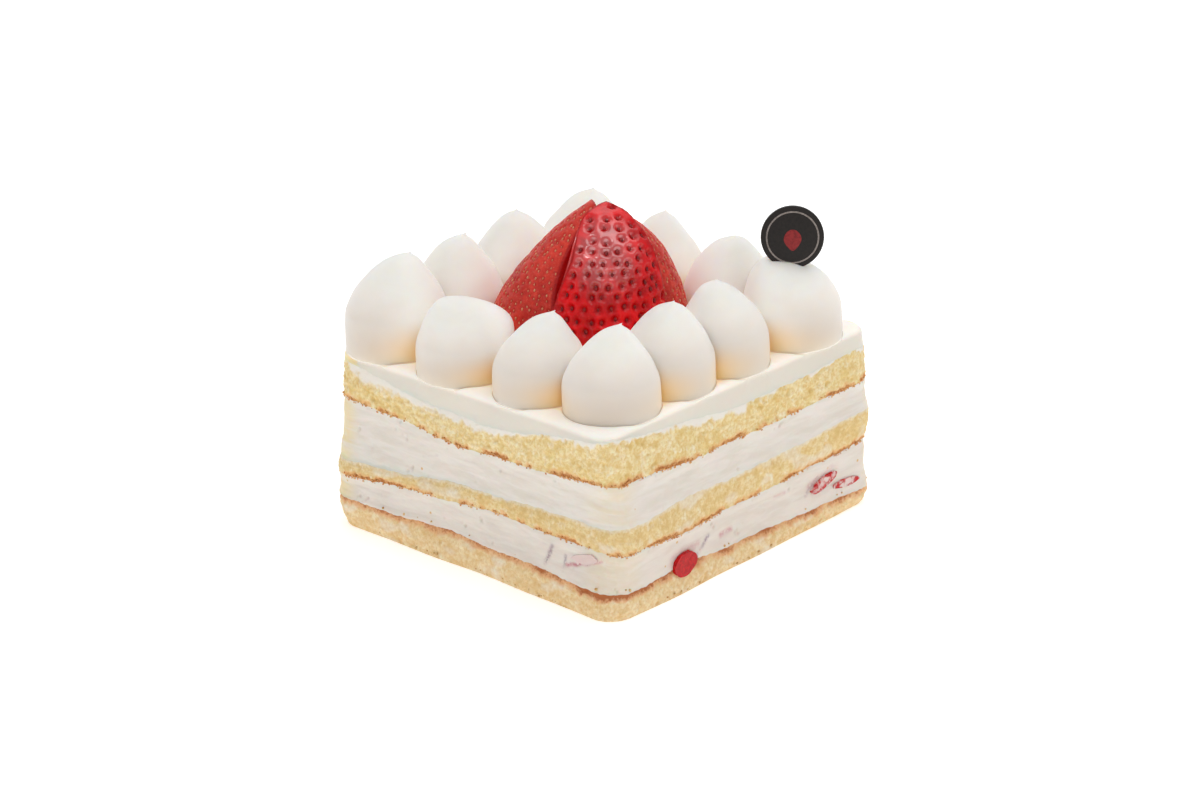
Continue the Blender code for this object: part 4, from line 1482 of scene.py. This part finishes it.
def repeat_shape(piece, copies, merge, sharp):
    """Give the piece its faces once for each copy of its points."""
    each, faces = len(copies[0]), [tuple(p.vertices) for p in piece.data.polygons]
    all_faces = [tuple(n * each + i for i in face) for n in range(len(copies)) for face in faces]
    mesh = bpy.data.meshes.new(piece.name)
    mesh.from_pydata((np.concatenate(copies) * MM).tolist(), [], all_faces)
    piece.data = mesh
    return tidy_mesh(piece, merge=merge, sharp=sharp)


def seed_cloud(name, places, size):
    clear_selection()
    bpy.ops.mesh.primitive_ico_sphere_add(subdivisions=2, radius=1)
    one = new_piece(name)
    shape, copies, dice = points_of(one), [], random.Random(17)
    for spot, normal in places:
        across = Vector(normal).cross(Vector((0, 0, 1))).normalized()
        upward = across.cross(Vector(normal)).normalized()
        turned = np.array((across, Vector(normal), upward))
        copies.append(spot + (shape * size * dice.uniform(0.65, 1.2)) @ turned)
    return repeat_shape(one, copies, merge=1e-8, sharp=80)


print("big seeds are", round(2 * BIG_SEED[2], 2), "mm long")

# %% [markdown]
# Strawberry skin is a clear red with paler blotches, and its dimples are painted darker, as painted
# shade. The cut shows darker flesh. Near the front tip the skin is wet. Water could be a second shell,
# but a clear coat over the painted patch gives the same highlights. Dry quarters keep a plain low gloss.

# %% Strawberry finish
DRY_GLOSS, WET_GLOSS = 0.30, 1.0


def berry_material(name, red, deep, pale, flesh_red, roughness, wet):
    made, tree, shader = new_material(
        name, Roughness=roughness, Subsurface_Weight=0.2, Subsurface_Scale=0.0015,
        Specular_IOR_Level=DRY_GLOSS, Coat_IOR=2.0, Coat_Roughness=0.12)
    shader.inputs["Subsurface Radius"].default_value = (1.0, 0.2, 0.12)
    broad = flow(tree, 6, 0.0, (1, 1, 0.6)).outputs["Mask"]
    fine = grain(tree, 0.6, 0.03)
    mottle = fine.outputs["Mask"]
    body = mix(tree, step_between(tree, broad, 0.3, 0.7), red, deep)
    body = mix(tree, times(tree, step_between(tree, mottle, 0.5, 0.75), 0.35), body, pale)
    # Painted shade: the dimples are painted in the deep red.
    body = mix(tree, times(tree, painted(tree, "hollow"), 0.7), body, deep)
    flesh = mix(tree, step_between(tree, mottle, 0.3, 0.7), colour(164, 4, 6), flesh_red)
    body = mix(tree, painted(tree, "cut"), body, flesh)
    if wet:
        shine = put(tree, "ShaderNodeMapRange", {
            "Value": painted(tree, "wet"), "To Min": DRY_GLOSS, "To Max": WET_GLOSS})
        tree.links.new(shine.outputs["Result"], shader.inputs["Specular IOR Level"])
        tree.links.new(painted(tree, "wet"), shader.inputs["Coat Weight"])
    dress(tree, shader, body, fine)
    return made


def speckled_material(name, light, dark, roughness, gloss=0.25, size=0.7, high=0.7):
    """For small things: two shades of a colour in fine grain."""
    made, tree, shader = new_material(name, Roughness=roughness, Specular_IOR_Level=gloss)
    fine = grain(tree, size, 0.02)
    body = mix(tree, step_between(tree, fine.outputs["Mask"], 0.35, high), light, dark)
    dress(tree, shader, body, fine)
    return made


GLOSSY_RED = berry_material(
    "strawberry_glossy", colour(246, 6, 20), colour(188, 0, 10), colour(246, 52, 54),
    colour(186, 18, 16), 0.22, wet=True)
MATTE_RED = berry_material(
    "strawberry_matte", colour(228, 64, 48), colour(194, 38, 30), colour(240, 142, 112),
    colour(186, 18, 16), 0.4, wet=False)
SEED_LOOK = {"roughness": 0.3, "gloss": 0.5, "size": 0.8, "high": 0.65}
DARK_SEED = speckled_material("seed_dark", colour(176, 28, 26), colour(110, 6, 10), **SEED_LOOK)
PALE_SEED = speckled_material("seed_pale", colour(232, 168, 124), colour(206, 104, 74), **SEED_LOOK)

# %% [markdown]
# The berry was cut in four and stood up again with its cuts a little open. One berry could be modelled
# and cut, but the quarters lean and bend differently, so each is shaped by itself. Its seeds follow
# from its dimples, and stay a piece of their own because they shine more than the skin.

# %% Cut the strawberry and set its seeds
for berry_row in BERRIES:
    berry_name, shiny = berry_row[0], berry_row[0] == FRONT
    berry = quarter(berry_row)
    berry_seeds = dimple(berry, berry_row, random.Random(berry_name))
    tidy_mesh(berry, merge=1e-7, sharp=60)
    settle(berry, "strawberry", GLOSSY_RED if shiny else MATTE_RED, berry_name)
    seeds = seed_cloud("seeds_" + berry_name, berry_seeds, BIG_SEED if shiny else SMALL_SEED)
    settle(seeds, "strawberry", DARK_SEED if shiny else PALE_SEED)

# %% [markdown]
# ## Fruit in the lower filling
# Pieces of strawberry lie in the lower cream, and the knife cut them flush with the side. Paint on the
# cream could show them, but they shine and stand out a little. So each one is a lumpy ball, pressed
# flat where the knife passed, with its middle inside the filling.

# %% Fruit pieces
# Each piece is its station round the cake, its height, half its width, height and depth, its slant, how
# far it comes forward, and how much cream covers it.
FRUIT_PIECES = (
    (-0.45, 8.1, 4.5, 3.3, 4.0, 12, 1.6, -0.9), (0.58, 12.2, 5.6, 1.7, 4.5, 16, 0.42, 0.42),
    (0.74, 9.3, 5.6, 1.2, 4.0, -4, 0.36, 0.45), (2.45, 12.6, 5.0, 1.8, 4.5, -8, 0.45, 0.42),
    (3.60, 12.0, 3.8, 2.4, 4.0, 12, 0.45, 0.3), (4.55, 12.8, 5.0, 1.5, 4.5, -6, 0.45, 0.42),
    (6.73, 15.4, 5.2, 1.6, 4.5, 18, 0.12, 1.6))
FRUIT_PROUD, FRUIT_DEPTH = 0.35, 0.7


def side_spot(station, height):
    """A point on the lower filling's side, and the direction that it faces."""
    step = np.array([station * RIM_STEPS / STATIONS % RIM_STEPS])
    low, high = rim("base_top", step)[0], rim("lower_cream_top", step)[0]
    outward = np.append(outline(step)[1][0], 0)
    share = (height - low[2]) / (high[2] - low[2])
    return low + (high - low) * share - FRUIT_DEPTH * outward, outward


def fruit_piece(number, row):
    station, height, half_width, half_height, half_depth, slant, forward, cream = row
    spot, outward = side_spot(station, height)
    clear_selection()
    bpy.ops.mesh.primitive_uv_sphere_add(
        segments=64, ring_count=48, radius=1, rotation=(0, math.pi / 2, 0))
    piece = new_piece(f"filling_fruit_{number}")
    bpy.ops.object.transform_apply(location=True, rotation=True, scale=True)
    ball = points_of(piece)
    ball *= (1 + 0.12 * wander(ball, 0.6, height) + 0.05 * wander(ball, 0.22, height))[:, None]
    from_middle = np.hypot(ball[:, 1], ball[:, 2])
    ball *= (half_depth, half_width, half_height)
    face = 0.5 * FRUIT_PROUD * (1 + 0.5 * wander(ball, 1.6, 7)) + 0.1
    ball[:, 0] = np.minimum(ball[:, 0], face)
    turn = (Matrix.Rotation(math.atan2(outward[1], outward[0]), 3, "Z")
            @ Matrix.Rotation(math.radians(slant), 3, "X"))
    set_points(piece, (spot + outward * forward + ball @ np.array(turn).T) * MM)
    paint(piece, middle=from_middle, cover=np.full(len(ball), cream))
    return tidy_mesh(piece, sharp=70)


print("fruit pieces:", len(FRUIT_PIECES))

# %% [markdown]
# Cut fruit is wet and dark red, and dragged cream covers some of it, thinnest at the rim of the piece.
# The cream is a painted amount, broken up by noise, so each piece can be more or less covered.

# %% Fruit finish
def fruit_material():
    made, tree, shader = new_material(
        "filling_fruit_wet", Roughness=0.25, Subsurface_Weight=0.15, Subsurface_Scale=0.001,
        Coat_Weight=0.15, Coat_Roughness=0.1, Specular_IOR_Level=0.2)
    fine = grain(tree, 0.9, 0.08)
    pulp = step_between(tree, fine.outputs["Mask"], 0.35, 0.7)
    body = mix(tree, pulp, colour(176, 0, 6), colour(214, 20, 24))
    rim_share = times(tree, painted(tree, "middle"), 0.6)
    inner = sums(tree, "SUBTRACT", painted(tree, "cover"), rim_share)
    cloud = flow(tree, 1.8, 0.0, (1, 1, 1)).outputs["Mask"]
    patchy = times(tree, sums(tree, "SUBTRACT", cloud, 0.5), 2.4)
    creamy = step_between(tree, sums(tree, "ADD", inner, patchy), -0.25, 0.25)
    body = mix(tree, times(tree, creamy, 0.93), body, colour(232, 212, 206))
    dress(tree, shader, body, fine)
    return made


WET_FRUIT = fruit_material()
for fruit_number, fruit_row in enumerate(FRUIT_PIECES, 1):
    fruit = fruit_piece(fruit_number, fruit_row)
    settle(fruit, "filling_fruit", WET_FRUIT, f"fruit_piece_{fruit_number}")

# %% [markdown]
# ## The chocolate disc
# A thin disc of dark chocolate stands in the right-hand kiss. It is a cylinder with a bevel, because a
# moulded edge is never sharp. Its face has a thin pale ring and a small red berry, printed in coloured
# cocoa butter, which stands up like thick paint. So each is a flattened torus or ball on the face.

# %% Disc
DISC_CENTRE = (42.6, 34.0, 83.1)
DISC_RADIUS, DISC_THICKNESS = 8.8, 1.8
DISC_FACING, DISC_TILT = -45, 8
RING_RADIUS, RING_THICKNESS = 7.2, 0.22
PRINT_HALF_WIDTH, PRINT_HALF_HEIGHT, PRINT_DROP, PRINT_PROUD = 2.5, 3.0, 0.8, 0.16


def stand_up(piece):
    """Turn a flat piece upright, to face the camera, and put it in the disc's place."""
    take(piece)
    piece.rotation_euler = (Matrix.Rotation(math.radians(90 + DISC_FACING), 3, "Z")
                            @ Matrix.Rotation(math.radians(90 - DISC_TILT), 3, "X")).to_euler()
    piece.location = Vector(DISC_CENTRE) * MM
    bpy.ops.object.transform_apply(location=True, rotation=True, scale=True)
    return piece


def disc_piece():
    clear_selection()
    bpy.ops.mesh.primitive_cylinder_add(vertices=96, radius=DISC_RADIUS * MM, depth=DISC_THICKNESS * MM)
    piece = new_piece("dark_disc")
    bevel = piece.modifiers.new("melted_edge", "BEVEL")
    bevel.width, bevel.segments, bevel.limit_method = 0.35 * MM, 4, "ANGLE"
    bpy.ops.object.modifier_apply(modifier="melted_edge")
    return stand_up(tidy_mesh(piece, sharp=40))


def ring_print():
    face = DISC_THICKNESS / 2 * MM
    clear_selection()
    bpy.ops.mesh.primitive_torus_add(
        major_radius=RING_RADIUS * MM, minor_radius=RING_THICKNESS * MM, major_segments=96,
        minor_segments=8, location=(0, 0, face))
    piece = new_piece("print_ring")
    bpy.ops.object.transform_apply(location=True, rotation=True, scale=True)
    flat = points_of(piece)
    flat[:, 2] = face + np.maximum(flat[:, 2] - face, -0.1 * MM) * 0.4
    set_points(piece, flat)
    return stand_up(tidy_mesh(piece, sharp=60))


def berry_print():
    clear_selection()
    bpy.ops.mesh.primitive_uv_sphere_add(segments=40, ring_count=20, radius=1)
    piece = new_piece("print_berry")
    ball = points_of(piece)
    narrow = 1 - 0.42 * np.clip(-ball[:, 1] + 0.1, 0, 1) ** 1.4
    flat = np.column_stack([
        ball[:, 0] * PRINT_HALF_WIDTH * narrow, ball[:, 1] * PRINT_HALF_HEIGHT - PRINT_DROP,
        DISC_THICKNESS / 2 + ball[:, 2] * PRINT_PROUD])
    set_points(piece, flat * MM)
    return stand_up(tidy_mesh(piece, sharp=60))


CHOCOLATE = speckled_material("dark_chocolate", colour(38, 33, 30), colour(31, 27, 25), 0.5)
PALE_PRINT = speckled_material("print_pale", colour(150, 140, 134), colour(120, 110, 104), 0.5)
RED_PRINT = speckled_material("print_red", colour(150, 44, 44), colour(120, 32, 34), 0.5)
settle(disc_piece(), "chocolate", CHOCOLATE, "chocolate_disc")
settle(ring_print(), "chocolate", PALE_PRINT)
settle(berry_print(), "chocolate", RED_PRINT)

# %% [markdown]
# ## Crumbs
# Crumbs cling along the lower edge of the base, where the knife dropped them, and torn grains of brown
# skin stand up along the lower rims of the other two sheets. A particle system could scatter them. A
# plain loop can also ask how much skin is painted at a place, so they gather where the skin is. They
# are tiny lumps of a few faces each, joined in one mesh for each kind.

# %% Loose crumbs
RIM_SKIN = {"upper_cream_top": (TOP_SKIN, 33), "lower_cream_top": (MIDDLE_SKIN, 31)}


def crumb_spots(dice, count, levels, heights):
    """Places along the rims. On a skin line they gather where the skin is."""
    spots = []
    while len(spots) < count:
        level, step = dice.choice(levels), np.array([dice.uniform(0, RIM_STEPS)])
        spot = ragged_rim(level, step)[0]
        spot[2] += dice.uniform(*heights)
        wanted = skin_along(spot[None], *RIM_SKIN[level])[0] if level in RIM_SKIN else 1.0
        if dice.random() < wanted:
            spots.append(spot + np.append(outline(step)[1][0], 0) * dice.uniform(-0.2, 0.12))
    return spots


def crumb_piece(name, seed, count, levels, heights, sizes):
    dice = random.Random(seed)
    clear_selection()
    bpy.ops.mesh.primitive_ico_sphere_add(subdivisions=1, radius=1)
    piece = new_piece(name)
    shape, copies = points_of(piece), []
    for spot in crumb_spots(dice, count, levels, heights):
        stretch = np.array([dice.uniform(0.7, 1.3) for _ in range(3)])
        copies.append(spot + shape * stretch * dice.uniform(*sizes))
    print(name, "has", count, "crumbs")
    return repeat_shape(piece, copies, merge=1e-9, sharp=80)


CRUMB = speckled_material("crumb_toasted", colour(226, 196, 140), colour(190, 134, 76), 0.9)
SKIN_CRUMB = speckled_material("crumb_skin", colour(240, 192, 132), colour(186, 110, 58), 0.9)
TABLE_LEVELS = ("floor", "floor", "floor", "base_top")
SKIN_LEVELS = ("upper_cream_top", "lower_cream_top")
settle(crumb_piece("side_crumbs", 41, 170, TABLE_LEVELS, (0.6, 1.4), (0.16, 0.42)), "sponge", CRUMB)
settle(crumb_piece("skin_crumbs", 43, 1500, SKIN_LEVELS, (-0.45, 0.7), (0.14, 0.36)),
       "sponge", SKIN_CRUMB)

# %% [markdown]
# ## The table
# A plain pale floor catches a little soft shadow under the cake. It gives off some light of its own,
# more of it further out, so that it stays evenly pale up to the edges of the picture.

# %% Floor
FLOOR_SIZE = 8.0
GLOW_REACH, FLOOR_GLOW = (0.10, 0.50), (0.42, 0.80)


def floor_piece():
    clear_selection()
    bpy.ops.mesh.primitive_plane_add(size=FLOOR_SIZE)
    piece = new_piece("pale_floor")
    made, tree, shader = new_material(
        "floor_pale", Roughness=0.9, Specular_IOR_Level=0.1, Emission_Color=(1, 1, 1, 1))
    wide = flow(tree, 60, 0.0, (1, 1, 1)).outputs["Mask"]
    away = put(tree, "ShaderNodeVectorMath", {0: object_place(tree)}, operation="LENGTH")
    lift = put(tree, "ShaderNodeMapRange", {
        "Value": away.outputs["Value"], "From Min": GLOW_REACH[0], "From Max": GLOW_REACH[1],
        "To Min": FLOOR_GLOW[0], "To Max": FLOOR_GLOW[1]})
    tree.links.new(lift.outputs["Result"], shader.inputs["Emission Strength"])
    body = mix(tree, wide, (0.93, 0.93, 0.93, 1), (0.95, 0.95, 0.95, 1))
    tree.links.new(body, shader.inputs["Base Color"])
    piece.data.materials.append(made)
    return piece


floor_piece()
print("table glow near and far:", FLOOR_GLOW)
